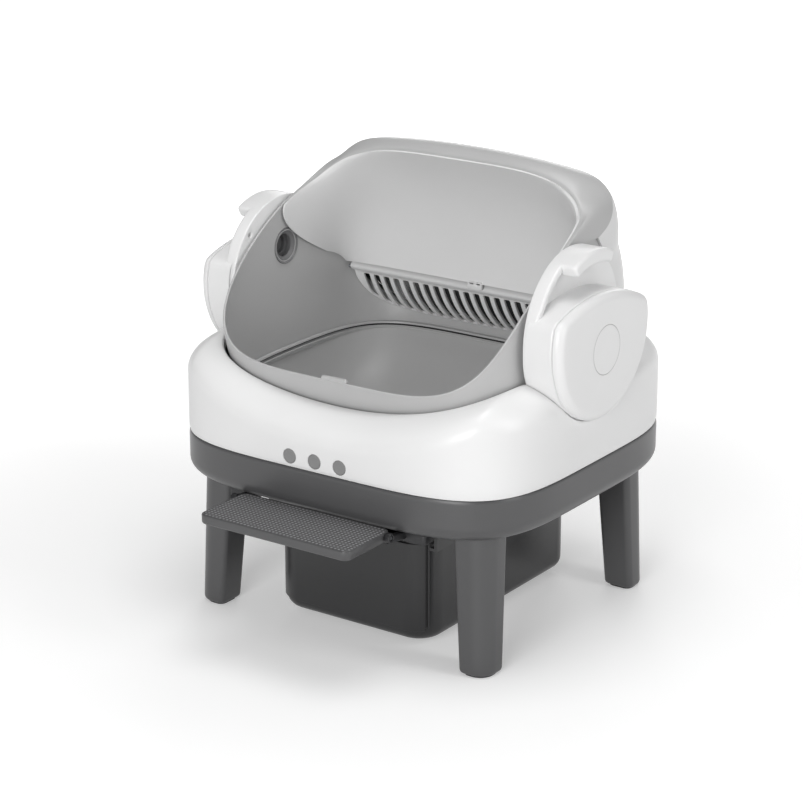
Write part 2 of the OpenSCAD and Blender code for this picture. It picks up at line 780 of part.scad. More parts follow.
module step_brackets() color(black_grey) both_sides() difference() {
    union() {
        side_plate(bracket_x, bracket_x + bracket_t) {
            translate(step_pivot) circle(r = bracket_r, $fn = fine);
            polygon([step_pivot - [0, bracket_r], [bracket_back_y, bracket_low_z],
                [bracket_back_y, chassis_z], [edge_centre_y, chassis_z], step_pivot + bracket_toe]);
        }
        box([bracket_x, edge_centre_y, bracket_low_z], [bracket_x + bracket_foot_w, bracket_back_y, chassis_z]);
    }
    rod_x(bracket_x - cut, bracket_x + bracket_t + cut, step_pin_r, step_pivot);
}

module base_contacts() color("goldenrod") at_contacts()
    box([-contact_half, -contact_half, contact_low_z], [contact_half, contact_half, contact_top_z]);

module housing_screws() color(steel) {
    at_corners(screw_x, screw_y) {
        rod_z(screw_low_z - screw_head_t, seam_z + screw_depth, screw_r, 0, 0);
        rod_z(screw_low_z - screw_head_t, screw_low_z, screw_head_r, 0, 0);
    }
    at_rail_screws() {
        rod_z(chassis_z - rail_pad[2], floor_z, screw_r, 0, 0);
        rod_z(floor_z, floor_z + screw_head_t, screw_head_r, 0, 0);
    }
}

// Step
module step_outline(inset) translate([0, (step_front_y + step_back_y) / 2])
    polygon(rounded(step_w / 2 - inset, (step_back_y - step_front_y) / 2 - inset, step_corner_r - inset / 2));

module step_plate() color(charcoal) difference() {
    translate([0, 0, step_top_z - step_t]) linear_extrude(height = step_t) step_outline(0);
    translate([0, 0, step_top_z - tread_t]) linear_extrude(height = tread_t + cut) step_outline(tread_border);
    both_sides() rod_x(step_w / 2 - pin_depth, step_w / 2 + cut, step_pin_r, step_pivot);
}

module step_tread() color("gray") translate([0, 0, step_top_z - tread_t])
    linear_extrude(height = tread_t) step_outline(tread_border + tread_gap);

module step_pins() color(steel) both_sides()
    rod_x(step_w / 2 - pin_depth, bracket_x + bracket_t, step_pin_r - running_gap, step_pivot);

// Buttons
module button(i) color("gray") {
    collar_y = -half_d + casing_wall + skin;
    rod_y(button_face_y, button_face_y + button_len, button_r, i * button_pitch, button_z);
    rod_y(collar_y, collar_y + button_collar_t, button_r + button_collar_w, i * button_pitch, button_z);
}

module button_left() button(-1);
module button_centre() button(0);
module button_right() button(1);

// Waste drawer
module drawer_form(inset, top) {
    r = drawer_edge_r;
    corner = drawer_corner_r;
    translate([0, drawer_mid_y, 0]) loft(concat(
        [for (t = [0 : 18 : 90]) lifted(rounded(drawer_w / 2 - r + (r - inset) * sin(t),
            drawer_half_d - r + (r - inset) * sin(t), corner - r + (r - inset) * sin(t)),
            drawer_low_z + r - (r - inset) * cos(t))],
        [lifted(rounded(drawer_w / 2 - inset, drawer_half_d - inset, corner - inset), top)]));
}

module drawer_bin() color(black_grey) difference() {
    union() {
        drawer_form(0, drawer_top_z);
        translate([0, drawer_mid_y, flange_z]) linear_extrude(height = drawer_top_z - flange_z)
            polygon(rounded(drawer_w / 2 + flange_w, drawer_half_d, drawer_corner_r));
    }
    drawer_form(drawer_wall, drawer_top_z + cut);
}

module drawer_outline(grow) translate([0, drawer_mid_y])
    polygon(rounded(drawer_w / 2 + grow, drawer_half_d + grow, drawer_corner_r + grow));

// The front panel wraps halfway round both front corners of the bin
module drawer_front() color(black_grey) {
    translate([0, 0, drawer_low_z + drawer_edge_r])
        linear_extrude(height = flange_z - drawer_low_z - drawer_edge_r) intersection() {
            difference() {
                drawer_outline(drawer_front_t);
                drawer_outline(0);
            }
            translate([-drawer_w, drawer_front_y - cut])
                square([2 * drawer_w, cut + (drawer_corner_r + drawer_front_t) * (1 - sqrt(0.5))]);
        }
    box([-pull_w / 2, drawer_front_y - pull_reach, flange_z - pull_t],
        [pull_w / 2, drawer_front_y + drawer_front_t / 2, flange_z]);
}

module bag_ring() color("gray") translate([0, 0, drawer_top_z + bag_ring_rise - bag_ring_h - flange_t])
    difference() {
        linear_extrude(height = bag_ring_h) drawer_outline(-drawer_wall - skin);
        translate([0, 0, -cut]) linear_extrude(height = bag_ring_h + 2 * cut)
            drawer_outline(-drawer_wall - bag_ring_w);
    }

// Pods
module shield(inset) intersection() {
    translate(low_centre) circle(r = pod_low_r - inset, $fn = fine);
    translate(top_centre) circle(r = pod_top_r - inset, $fn = fine);
}

module plate_shape() union() {
    intersection() {
        translate(plate_centre) circle(r = pod_plate_r, $fn = fine);
        union() {
            translate(low_centre) circle(r = pod_low_r, $fn = fine);
            translate([-far, low_centre[1]]) square([2 * far, far]);
        }
    }
    shield(0);
}

module ring_sector(inner, outer, from, to) translate(plate_centre) difference() {
    intersection() {
        circle(r = outer, $fn = fine);
        polygon(concat([[0, 0]], arc([0, 0], outer * 1.6, from, to, 6)));
    }
    circle(r = inner, $fn = fine);
}

module pod_case() {
    difference() {
        union() {
            side_plate(pod_x, plate_back_x) plate_shape();
            side_plate(plate_mid_x, pod_case_x) shield(0);
            side_plate(plate_mid_x, plate_back_x + plate_edge_h)
                ring_sector(pod_plate_r - plate_edge_w, pod_plate_r, handle_from, edge_to);
            side_plate(plate_mid_x, pod_x + handle_reach)
                ring_sector(pod_plate_r - handle_t, pod_plate_r, handle_from, handle_to);
        }
        side_plate(plate_back_x, pod_case_x + cut) shield(casing_wall);
        rod_x(pod_x - cut, plate_back_x + cut, bush_r, [0, axis_z]);
    }
}

module pod_case_right() color(white) difference() {
    pod_case();
    at_contacts() box([-contact_half, -contact_half, contact_top_z - cut],
        [contact_half, contact_half, contact_top_z + contact_len + contact_room]);
}

module pod_case_left() color(white) difference() {
    mirror([1, 0, 0]) pod_case();
    rod_x(-plate_back_x - cut, -pod_x + cut, cup_r, [port_y, port_z]);
    rod_x(-pod_x - cup_depth - cut, -plate_back_x, cup_rim_r + skin, [port_y, port_z]);
    rod_x(-plate_back_x - cut, -pod_x + cut, sensor_eye_r, sensor_place);
}

module pod_cover_form(inset) hull() {
    side_plate(pod_case_x - (inset > 0 ? cut : 0), pod_case_x + pod_cover_t / 2) shield(inset, $fn = 32);
    side_plate(pod_case_x, pod_cover_x - inset) shield(pod_cover_t / 2 + inset, $fn = 32);
}

module pod_cover() difference() {
    pod_cover_form(0);
    pod_cover_form(casing_wall);
}

module pod_cover_right() color(white) pod_cover();
module pod_cover_left() color(white) mirror([1, 0, 0]) pod_cover();

module bush() difference() {
    union() {
        rod_x(pod_x, pod_x + bush_len, bush_r, [0, axis_z]);
        rod_x(plate_back_x, pod_x + bush_len, bush_collar_r, [0, axis_z]);
    }
    rod_x(pod_x - cut, pod_x + bush_len + cut, trunnion_r + running_gap, [0, axis_z]);
}

module bush_right() color("goldenrod") bush();
module bush_left() color("goldenrod") mirror([1, 0, 0]) bush();

// Gear teeth are trapezia with room to spare in mesh
module gear_shape(teeth, bore) difference() {
    union() {
        circle(r = tooth_module * (teeth / 2 - tooth_root), $fn = fine);
        for (i = [0 : teeth - 1]) rotate(360 * i / teeth) polygon(tooth_module * [
            [teeth / 2 - tooth_foot, -tooth_foot_half], [teeth / 2 + tooth_tip, -tooth_tip_half],
            [teeth / 2 + tooth_tip, tooth_tip_half], [teeth / 2 - tooth_foot, tooth_foot_half]]);
    }
    circle(r = bore, $fn = fine);
}

module drum_gear() color(pale_grey) side_plate(gear_x, gear_x + gear_t)
    translate([0, axis_z]) rotate(pinion_angle) gear_shape(drum_teeth, key_r);

module drive_pinion() color(steel) side_plate(gear_x, gear_x + gear_t)
    translate([pinion_y, pinion_z]) rotate(pinion_angle + 180 / pinion_teeth)
        gear_shape(pinion_teeth, shaft_r + running_gap);

module drive_gearbox() color(steel) difference() {
    union() {
        rod_x(gearbox_x, gearbox_x + gearbox_len, gearbox_r, [pinion_y, pinion_z]);
        rod_x(plate_back_x, gearbox_x + cut, shaft_r, [pinion_y, pinion_z]);
    }
    rod_x(motor_x, gearbox_x + gearbox_len + cut, motor_r, [pinion_y, pinion_z]);
}

module drive_motor() color("gray")
    rod_x(motor_x, pod_case_x + motor_seat, motor_r, [pinion_y, pinion_z]);

module deodoriser_cup() color(charcoal) difference() {
    union() {
        rod_x(-pod_x - cup_depth, -pod_x - cup_recess, cup_r, [port_y, port_z]);
        rod_x(-pod_x - cup_depth, -plate_back_x, cup_rim_r, [port_y, port_z]);
    }
    rod_x(-pod_x - cup_seat_depth, -pod_x, port_r - port_wall, [port_y, port_z]);
    rod_x(-pod_x - cup_depth + port_wall, -pod_x, cup_inner_r, [port_y, port_z]);
}

module presence_sensor() color("black") {
    rod_x(-plate_back_x - sensor_len, -pod_x - sensor_recess, sensor_eye_r, sensor_place);
    rod_x(-plate_back_x - sensor_len, -plate_back_x, sensor_eye_r + sensor_flange_w, sensor_place);
}

module pod_contacts() color("goldenrod") at_contacts()
    box([-contact_half, -contact_half, contact_top_z + skin],
        [contact_half, contact_half, contact_top_z + contact_len]);

// Drum
module drum_bowl() color(mid_grey) difference() {
    roll(bowl_r, drum_half, bowl_power);
    roll(bowl_r - drum_wall, drum_half - drum_wall, bowl_power);
    side_prism() polygon(opening());
    side_prism() polygon(behind_split(0));
    rod_x(-drum_half - cut, -drum_half + 2 * drum_wall, port_r, [port_y, port_z]);
    rod_x(-pin_half - skin, pin_half + skin, grille_pin_r, grille_pivot);
}

// Where a circle seen from the side crosses a circle of radius r about the drum's axis
function crossing(centre, radius, r, side) = let (
    v = centre - [0, axis_z],
    d = norm(v),
    a = atan2(v[1], v[0]) + side * acos((d * d + r * r - radius * radius) / (2 * d * r)))
    [r * cos(a), axis_z + r * sin(a)];

// Where the hood's opening, moved by a step, lies at radius r from the drum's axis
function opening_point(r, step) = let (
    corner = corner_centre + step,
    front_y = hood_front_y + step[0],
    from_axis = corner - [0, axis_z])
    r < norm(from_axis + hood_corner_r * [cos(corner_angle), sin(corner_angle)])
        ? crossing(rim_centre + step, rim_r, r, 1)
        : r < norm(from_axis + [hood_corner_r, 0])
            ? crossing(corner, hood_corner_r, r, -1)
            : [front_y, axis_z + sqrt(r * r - front_y * front_y)];

// Distance along the axis and radius of a roll's profile in a direction from its middle
function roll_point(r, half, power, angle) = let (
    c = cos(angle),
    s = sin(angle),
    k = pow(pow(abs(c), power) + pow(abs(s), power), -1 / power))
    [-half * k * c, r * k * s];

function hood_edge(r, half, power, angle, step) = let (
    p = roll_point(r, half, power, angle),
    q = opening_point(p[1], step))
    [p[0], q[0], q[1]];

// The band runs from the lip of the hood to the crease, and bows outwards above the drum
function band_point(i, k, inset) = let (
    angle = band_from + (180 - 2 * band_from) * i / band_cols,
    t = k / band_rows,
    lip = hood_edge(lip_r - inset, lip_half - inset, lip_power, angle, [0, 0]),
    crease = hood_edge(hood_r - inset, drum_half - inset, hood_power, angle,
        [band_w - skin, -band_drop]),
    along = (crease - lip) / norm(crease - lip),
    bow = band_bow * pow(sin(180 * i / band_cols), bow_power) * 4 * t * (1 - t))
    lip + (crease - lip) * t + bow * [0, -along[2], along[1]];

function band_grid(inset) = [for (k = [0 : band_rows]) [for (i = [0 : band_cols]) band_point(i, k, inset)]];

module hood_band() color(mid_grey) difference() {
    sheet(band_grid(drum_wall), band_grid(0));
    box([-half_w, -half_d, 0], [half_w, half_d, split_z + skin]);
}

// The rear shell is as square as the crease at its top, and as round as the bowl further down
function ease(t) = let (k = max(0, min(1, t))) k * k * (3 - 2 * k);

function shell_point(i, k, inset) = let (
    angle = band_from + (180 - 2 * band_from) * i / band_cols,
    crease = hood_edge(hood_r - inset, drum_half - inset, hood_power, angle, [band_w, -band_drop]),
    top = atan2(crease[2] - axis_z, crease[1]),
    turn = top + (shell_end - top) * k / shell_rows,
    mix = ease((turn - blend_from) / (blend_to - blend_from)),
    r = bowl_r + (hood_r - bowl_r) * mix - inset,
    p = roll_point(r, drum_half - inset, bowl_power + (hood_power - bowl_power) * mix, angle))
    [p[0], p[1] * cos(turn), axis_z + p[1] * sin(turn)];

function shell_grid(inset) = [for (k = [0 : shell_rows]) [for (i = [0 : band_cols]) shell_point(i, k, inset)]];

module hood_shell() color(pale_grey) intersection() {
    sheet(shell_grid(drum_wall), shell_grid(0));
    side_prism() polygon(behind_split(skin));
}

// The hood's scoop runs from its opening to the top of the grille, and bows back in the middle
function panel_point(i, k) = let (
    angle = panel_from + (180 - 2 * panel_from) * i / panel_cols,
    inset = drum_wall + skin,
    from = hood_edge(lip_r - inset, lip_half - inset, lip_power, angle, [skin, 0]),
    to = [panel_half * from[0] / abs(panel_end[0]), panel_low[0], panel_low[1]],
    t = k / panel_rows,
    side = pow(abs(from[0] / panel_end[0]), 4),
    bow = panel_bow * (1 - side) * 4 * t * (1 - t) - panel_side_bow * side * sin(180 * sqrt(t)),
    along = (to - from) / norm(to - from))
    from + (to - from) * t + bow * [0, -along[2], along[1]];

module hood_panel() color(pale_grey) intersection() {
    sheet([for (k = [0 : panel_rows]) [for (i = [0 : panel_cols]) panel_point(i, k)]],
        [for (k = [0 : panel_rows]) [for (i = [0 : panel_cols]) panel_point(i, k) + [0, panel_t, 0]]]);
    roll(bowl_r - drum_wall - skin, drum_half - drum_wall - skin, bowl_power);
}

module liner_form(inset) roll(liner_outer_r - inset, liner_outer_half - inset, bowl_power);

module litter_liner() color("gray") difference() {
    liner_form(0);
    liner_form(liner_rim_w);
    difference() {
        liner_form(liner_t);
        box([-half_w, -half_d, liner_z - liner_rim_t], [half_w, half_d, far]);
    }
    box([-half_w, -half_d, liner_z], [half_w, half_d, far]);
}

module rim_tab() color(pale_grey) side_plate(-tab_w / 2, tab_w / 2) intersection() {
    translate([0, axis_z]) difference() {
        circle(r = liner_outer_r, $fn = fine);
        circle(r = liner_outer_r - tab_t, $fn = fine);
    }
    translate([-liner_outer_r, rim_front_z - tab_h]) square([liner_outer_r / 2, tab_h + tab_rise]);
}

module trunnion() {
    rod_x(drum_half, gear_x, trunnion_r, [0, axis_z]);
    rod_x(drum_half, pod_x - skin, trunnion_collar_r, [0, axis_z]);
}

module trunnion_right() color(steel) {
    trunnion();
    rod_x(gear_x - cut, gear_x + gear_t, key_r, [0, axis_z]);
}

module trunnion_left() color(steel) mirror([1, 0, 0]) trunnion();

module port_ring() color(charcoal) difference() {
    rod_x(-drum_half - port_lip, -drum_half + drum_wall + port_lip, port_r, [port_y, port_z]);
    rod_x(-drum_half - port_lip - cut, -drum_half + drum_wall + port_lip + cut, port_r - port_wall,
        [port_y, port_z]);
}

// Grille
// The grille's section seen from the side: a thin arc from its top to its bottom edge
module grille_section(t) translate(grille_top) rotate(grille_angle) intersection() {
    translate([grille_len / 2, grille_bow_r - grille_bow]) difference() {
        circle(r = grille_bow_r + t, $fn = 360);
        circle(r = grille_bow_r, $fn = 360);
    }
    translate([0, -2 * grille_bow]) square([grille_len, 3 * grille_bow]);
}

module sifter_grille() color(pale_grey) difference() {
    intersection() {
        union() {
            side_prism() grille_section(grille_t);
            rod_x(-drum_half, drum_half, grille_pin_r + pin_shell, grille_pivot);
            box([-grille_header_half, grille_pivot[0] - grille_t / 2, grille_pivot[1]],
                [grille_header_half, grille_pivot[0] + grille_t / 2, panel_low[1] - header_gap]);
        }
        roll(bowl_r - drum_wall - grille_gap, drum_half - drum_wall - grille_gap, bowl_power);
    }
    for (i = [0 : slot_count - 1]) {
        x = (i - (slot_count - 1) / 2) * slot_pitch;
        edge = roll_radius(bowl_r - drum_wall, drum_half - drum_wall, bowl_power, abs(x) + slot_w / 2);
        ahead = grille_top[0] * cos(grille_angle) - grille_top_drop * sin(grille_angle);
        short = pow(ahead, 2) + edge * edge - pow(grille_top[0], 2) - pow(grille_top_drop, 2);
        reach = max(slot_min, min(grille_len, sqrt(max(0, short)) - ahead) - slot_margin);
        side_plate(x - slot_w / 2, x + slot_w / 2) translate(grille_top) rotate(grille_angle)
            translate([slot_from, -2 * grille_bow]) square([reach - slot_from, 3 * grille_bow]);
    }
    rod_x(-drum_half, drum_half, grille_pin_r, grille_pivot);
}

module sifter_pins() color(steel)
    rod_x(-pin_half, pin_half, grille_pin_r - running_gap, grille_pivot);

module sifter_catch() color(pale_grey)
    box([-catch_w / 2, panel_low[0] - catch_t, panel_low[1] - 2],
        [catch_w / 2, panel_low[0], panel_low[1] + catch_h - 2]);

chassis_tray();
upper_housing();
leg_front_left();
leg_front_right();
leg_rear_left();
leg_rear_right();
foot_pads();
leg_bolts();
weight_sensors();
control_board();
button_switches();
power_inlet();
waste_chute();
drawer_rail_left();
drawer_rail_right();
step_brackets();
base_contacts();
housing_screws();
step_plate();
step_tread();
step_pins();
button_left();
button_centre();
button_right();
drawer_bin();
drawer_front();
bag_ring();
pod_case_left();
pod_case_right();
pod_cover_left();
pod_cover_right();
bush_left();
bush_right();
drive_motor();
drive_gearbox();
drive_pinion();
deodoriser_cup();
presence_sensor();
pod_contacts();
drum_bowl();
hood_shell();
hood_band();
hood_panel();
litter_liner();
rim_tab();
trunnion_left();
trunnion_right();
drum_gear();
port_ring();
sifter_catch();
sifter_grille();
sifter_pins();
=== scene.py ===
"""Self-cleaning litter box: an open drum with a hood between two side pods, in a white housing on a
grey chassis with four legs, a waste drawer and a step. Lengths are in millimetres until finish_piece."""

import json
from math import acos, asin, atan2, cos, hypot, pi, radians, sin, sqrt

import bmesh
import bpy
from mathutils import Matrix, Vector


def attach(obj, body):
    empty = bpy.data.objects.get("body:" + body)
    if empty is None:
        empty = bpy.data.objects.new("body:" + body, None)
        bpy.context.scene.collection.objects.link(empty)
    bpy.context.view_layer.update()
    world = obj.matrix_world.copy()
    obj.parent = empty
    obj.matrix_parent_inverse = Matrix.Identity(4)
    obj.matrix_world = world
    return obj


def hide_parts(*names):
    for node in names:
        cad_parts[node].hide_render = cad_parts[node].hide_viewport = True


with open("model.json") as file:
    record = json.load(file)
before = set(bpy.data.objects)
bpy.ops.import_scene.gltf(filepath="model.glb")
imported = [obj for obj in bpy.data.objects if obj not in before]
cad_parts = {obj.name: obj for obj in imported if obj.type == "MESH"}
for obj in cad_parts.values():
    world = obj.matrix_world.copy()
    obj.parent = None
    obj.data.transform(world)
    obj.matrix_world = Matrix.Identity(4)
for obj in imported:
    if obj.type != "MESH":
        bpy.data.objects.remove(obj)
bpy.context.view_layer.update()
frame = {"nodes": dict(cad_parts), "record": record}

MM = 0.001
UP = Vector((0, 0, 1))
WHITE = (1.0, 1.0, 1.0, 1.0)

# Sizes of the body
HALF_W = 260.0
HALF_D = 236.0
BODY_POWER = 4.4
SEAM_Z = 236.0
SEAM_GAP = 0.3
CHASSIS_Z = 180.0
CHASSIS_EDGE = 20.0
COLLAR_Z = 309.0
SADDLE_R = 479.0
SADDLE_HALF = 215.0
SHOULDER_DROP = 42.0
SHOULDER_START = 0.78
WALL = 3.0
HALF_WALL = WALL / 2
THIN_WALL = 2.0
SEAT_WALL = 2.5
CHUTE_HALF = 93.0
CHUTE_FRONT = -128.0
CHUTE_BACK = 70.0

# Sizes of the drum
AXIS_Z = 395.0
AXIS = Vector((0, 0, AXIS_Z))
BOWL_R = 204.0
BOWL_POWER = 4.6
HOOD_R = 208.0
HOOD_POWER = 7.4
DRUM_HALF = 216.0
WELL_R = HOOD_R + 4.0
WELL_HALF = DRUM_HALF + 3.5
WELL_LOW = CHASSIS_Z + 20.0
COLLAR_R = BOWL_R + 3.0
COLLAR_LIP = 12.0
RIM_R = 520.0
RIM_FRONT = Vector((-BOWL_R, AXIS_Z - 62.0))
RIM_BACK = Vector((38.0, AXIS_Z + 124.0))
RIM_CHORD = RIM_BACK - RIM_FRONT
RIM_DEPTH = sqrt((RIM_R / RIM_CHORD.length) ** 2 - 0.25)
RIM_Y = (RIM_FRONT.x + RIM_BACK.x) / 2 + RIM_CHORD.y * RIM_DEPTH
RIM_Z = (RIM_FRONT.y + RIM_BACK.y) / 2 - RIM_CHORD.x * RIM_DEPTH
HOOD_Y = 74.0
CORNER_R = 55.0
CORNER_Y = HOOD_Y - CORNER_R
CORNER_Z = RIM_Z + sqrt((RIM_R + CORNER_R) ** 2 - (RIM_Y - CORNER_Y) ** 2)
CORNER_TURN = atan2(RIM_Z - CORNER_Z, RIM_Y - CORNER_Y)
LIP_R = 190.0
LIP_HALF = DRUM_HALF + 1.5
LIP_POWER = 4.0
LIP_ROUND = 2.0
LIP_SHARE = 1 / 3
LIP_WALL = 3.3
BAND_W = 42.0
BAND_DROP = 14.0
BAND_BOW = 11.0
BAND_BOW_POWER = 1.2
SHOULDER_BOW = 10.0
SHOULDER_SHARE = 0.14
BAND_FROM = radians(28)
SHELL_END = radians(-32)
BLEND_FROM = radians(26)
BLEND_TO = radians(53)
SPLIT_Z = AXIS_Z + 103.0
SPLIT_Y = RIM_Y + BAND_W - sqrt(RIM_R**2 - (SPLIT_Z - RIM_Z + BAND_DROP) ** 2)
SPLIT_LOW_Y = 205.0
SPLIT_LOW_Z = 296.0
SPLIT_GAP = 0.3
PANEL_LOW = (119.0, 391.0)
PANEL_FROM = radians(29)
PANEL_BOW = 30.0
PANEL_SIDE_BOW = 20.0
PANEL_WALL = 2.4
PANEL_GAP = 0.8
LINER_Z = 303.0
LINER_WALL = 2.5
LINER_GAP = 0.3
PORT = (-9.0, AXIS_Z + 43.0)
PORT_R = 20.0

# Sizes of the grille
GRILLE_TOP = (128.0, 379.0)
GRILLE_LOW = (184.0, 312.0)
GRILLE_BOW = 8.0
GRILLE_WALL = 2.4
SLOT_PITCH = 16.0
SLOT_W = 9.6
SLOT_CORNER = 2.0
SLOTS = 24
GRILLE_CHORD = Vector((GRILLE_LOW[0] - GRILLE_TOP[0], GRILLE_LOW[1] - GRILLE_TOP[1]))
GRILLE_BACK = Vector((-GRILLE_CHORD.y, GRILLE_CHORD.x)).normalized()
GRILLE_ARC_R = (GRILLE_CHORD.length ** 2 / 4 + GRILLE_BOW**2) / (2 * GRILLE_BOW)
GRILLE_SWEEP = 2 * atan2(GRILLE_CHORD.length / 2, GRILLE_ARC_R - GRILLE_BOW)
GRILLE_MIDDLE = Vector(GRILLE_TOP) + GRILLE_CHORD / 2 + GRILLE_BACK * (GRILLE_ARC_R - GRILLE_BOW)
GRILLE_START = atan2(GRILLE_TOP[1] - GRILLE_MIDDLE.y, GRILLE_TOP[0] - GRILLE_MIDDLE.x)
GRILLE_LEN = GRILLE_ARC_R * GRILLE_SWEEP
GRILLE_HEAD = 11.0
GRILLE_HALF = DRUM_HALF - 9.0
FRAME_TOP = 6.5
FRAME_SIDE = 4.0
FRAME_CORNER = 5.0
FRAME_GAP = 1.4
SLOT_GAP = 3.6
ROLL_Z = 382.0
ROLL_HALF = 7.5
ROLL_DEPTH = 7.0
RIB_DEPTH = 5.0
RIB_GAP = 11.0
RIB_TAPER = 0.6
PIVOT = (GRILLE_TOP[0] - 1.0, GRILLE_TOP[1] + 2.0)
PIVOT_R = 3.6
PIVOT_EDGE = 0.8
KNUCKLES = ((-203.5, -176.0), (-24.0, 24.0), (176.0, 203.5))

# Sizes of the pods
POD_X = 218.0
PLATE_X = POD_X + 8.0
CASE_X = POD_X + 42.0
COVER_X = CASE_X + 12.5
PLATE_CENTRE = (-8.0, AXIS_Z + 5.0)
PLATE_R = 105.0
LOW_CENTRE = (-8.0, AXIS_Z + 6.0)
LOW_R = 107.0
TOP_CENTRE = (-16.5, AXIS_Z - 193.0)
TOP_R = 251.0
POD_MIDDLE = (-8.0, 386.0)
CORNER_SHARP = 34
POD_SIDES = 192
SEAT_X = POD_X - 0.5
SEAT_R = LOW_R + 0.4
SEAT_DEPTH = 44.0
HANDLE_X = POD_X + 38.0
HANDLE_ROUND = 4.4
AXLE_HOLE_R = 23.0
SENSOR = (-76.6, 466.0)
SENSOR_HOLE_R = 3.0

# Sizes of the legs, the drawer, the step and the buttons
FOOT = (203.0, 173.0)
LEG_LEAN = 8.0
LEG_SMALL_R = 8.0
# Width, corner radius and height of the foot's rounded end
LEG_FOOT = ((36.0, 20.0, 3.0), (38.5, 21.0, 3.3), (40.6, 22.0, 4.4), (42.0, 23.0, 7.0))
LEG_GROWTH = 8.0
LEG_CORNER_GROWTH = 5.0
DRAWER_HALF_W = 117.0
DRAWER_FRONT = -164.0
DRAWER_BACK = 177.0
DRAWER_MIDDLE = (DRAWER_FRONT + DRAWER_BACK) / 2
DRAWER_HALF_D = (DRAWER_BACK - DRAWER_FRONT) / 2
DRAWER_LOW = 9.0
DRAWER_TOP = 145.0
DRAWER_LIP = 4.0
DRAWER_CORNER = 36.0
DRAWER_EDGE = 15.0
DRAWER_INNER = 2.5
DRAWER_PANEL = 1.5
STEP_HALF_W = 112.0
STEP_FRONT = -323.0
STEP_TOP = 185.7
STEP_T = 12.5
STEP_CORNER = 10.0
STEP_GAP_R = 21.5
STEP_BACK = -HALF_D + CHASSIS_EDGE - sqrt(STEP_GAP_R**2 - (CHASSIS_Z + CHASSIS_EDGE - STEP_TOP) ** 2)
TREAD_BORDER = 2.6
STEP_PIVOT = (STEP_BACK - 12.0, STEP_TOP - 5.2)
BRACKET_X = STEP_HALF_W + 1.0
BRACKET_W = 8.2
BRACKET_FOOT = 36.0
BRACKET_R = 6.3
PIN_R = 3.0
BUTTON_R = 9.4
BUTTON_PITCH = 37.5
BUTTON_Z = 250.0
BUTTON_Y = -236.3
BUTTON_GAP = 0.4
INLET = (120.0, 214.0)
INLET_R = 5.7
TAB_HALF = 19.0
TAB_LOW = 337.0
TAB_TOP = 346.6
TAB_FRONT = -195.8

# Fineness of the meshes
TRIM_STEPS = 14
BEAD_STEP = 2.5
BEAD_SIDES = 12


# Meshes


def surface(columns, rows, place, wrap=False):
    """A grid whose points u, v from 0 to 1 are moved to place(u, v)."""
    bm = bmesh.new()
    bmesh.ops.create_grid(bm, x_segments=columns, y_segments=rows, size=0.5)
    for v in bm.verts:
        v.co = place(v.co.x + 0.5, v.co.y + 0.5)
    if wrap:
        bmesh.ops.remove_doubles(bm, verts=bm.verts, dist=0.005)
    return bm


def trim(bm, over):
    """Cuts a surface along over(point) = 0 and takes away the side where it is positive."""
    value = {v: over(v.co) for v in bm.verts}
    fresh = set()
    for edge in list(bm.edges):
        low, high = sorted(edge.verts, key=value.get)
        if not value[low] <= 0 < value[high]:
            continue
        start, end = low.co.copy(), high.co.copy()
        near, past = 0.0, 1.0
        for _ in range(TRIM_STEPS):
            half = (near + past) / 2
            if over(start.lerp(end, half)) > 0:
                past = half
            else:
                near = half
        _, vert = bmesh.utils.edge_split(edge, low, past)
        value[vert] = 0.0
        fresh.add(vert)
    bmesh.ops.connect_verts(bm, verts=list(fresh))
    gone = [f for f in bm.faces if max(value[v] for v in f.verts) > 0]
    bmesh.ops.delete(bm, geom=gone, context="FACES")
    bmesh.ops.remove_doubles(bm, verts=bm.verts, dist=0.02)


def open_edges(bm, keep, sink):
    """Chains of points along a surface's open edges where keep(point) holds, moved sink inwards."""
    bm.normal_update()
    left = {e for e in bm.edges if e.is_boundary and all(keep(v.co) for v in e.verts)}
    chains = []
    while left:
        edge = left.pop()
        chain = list(edge.verts)
        for _ in range(2):
            while True:
                ahead = [e for e in chain[-1].link_edges if e in left]
                if not ahead:
                    break
                left.discard(ahead[0])
                chain.append(ahead[0].other_vert(chain[-1]))
            chain.reverse()
        closed = chain[0] is chain[-1]
        points = [v.co - v.normal * sink for v in chain]
        chains.append((points[:-1] if closed else points, closed))
    return chains


def even(points, step, closed):
    """The same path with points a step apart."""
    ring = points + points[:1] if closed else points
    lengths = [(b - a).length for a, b in zip(ring, ring[1:])]
    count = max(2, round(sum(lengths) / step))
    out = []
    index = 0
    walked = 0.0
    for i in range(count + (0 if closed else 1)):
        target = sum(lengths) * i / count
        while index < len(lengths) - 1 and walked + lengths[index] < target:
            walked += lengths[index]
            index += 1
        share = min(1.0, (target - walked) / max(lengths[index], 1e-9))
        out.append(ring[index].lerp(ring[index + 1], share))
    return out


def sweep(points, section, closed, up=None):
    """A tube along a path. With up, the section runs towards the middle of the path and along up."""
    n = len(points)
    middle = sum(points, Vector()) / n
    frames = []
    side = None
    for i, p in enumerate(points):
        before = points[i - 1] if closed or i else p
        after = points[(i + 1) % n] if closed or i < n - 1 else p
        along = (after - before).normalized()
        if up is None:
            side = along.orthogonal() if side is None else side - along * side.dot(along)
        else:
            side = along.cross(up)
            side *= 1 if side.dot(middle - p) > 0 else -1
        side.normalize()
        frames.append((p, side, side.cross(along) if up is None else up))

    def place(u, v):
        p, a, b = frames[round(u * (n if closed else n - 1)) % n]
        x, y = section[round(v * len(section)) % len(section)]
        return p + a * x + b * y

    bm = surface(n if closed else n - 1, len(section), place, wrap=True)
    if not closed:
        bmesh.ops.holes_fill(bm, edges=bm.edges, sides=0)
    return bm


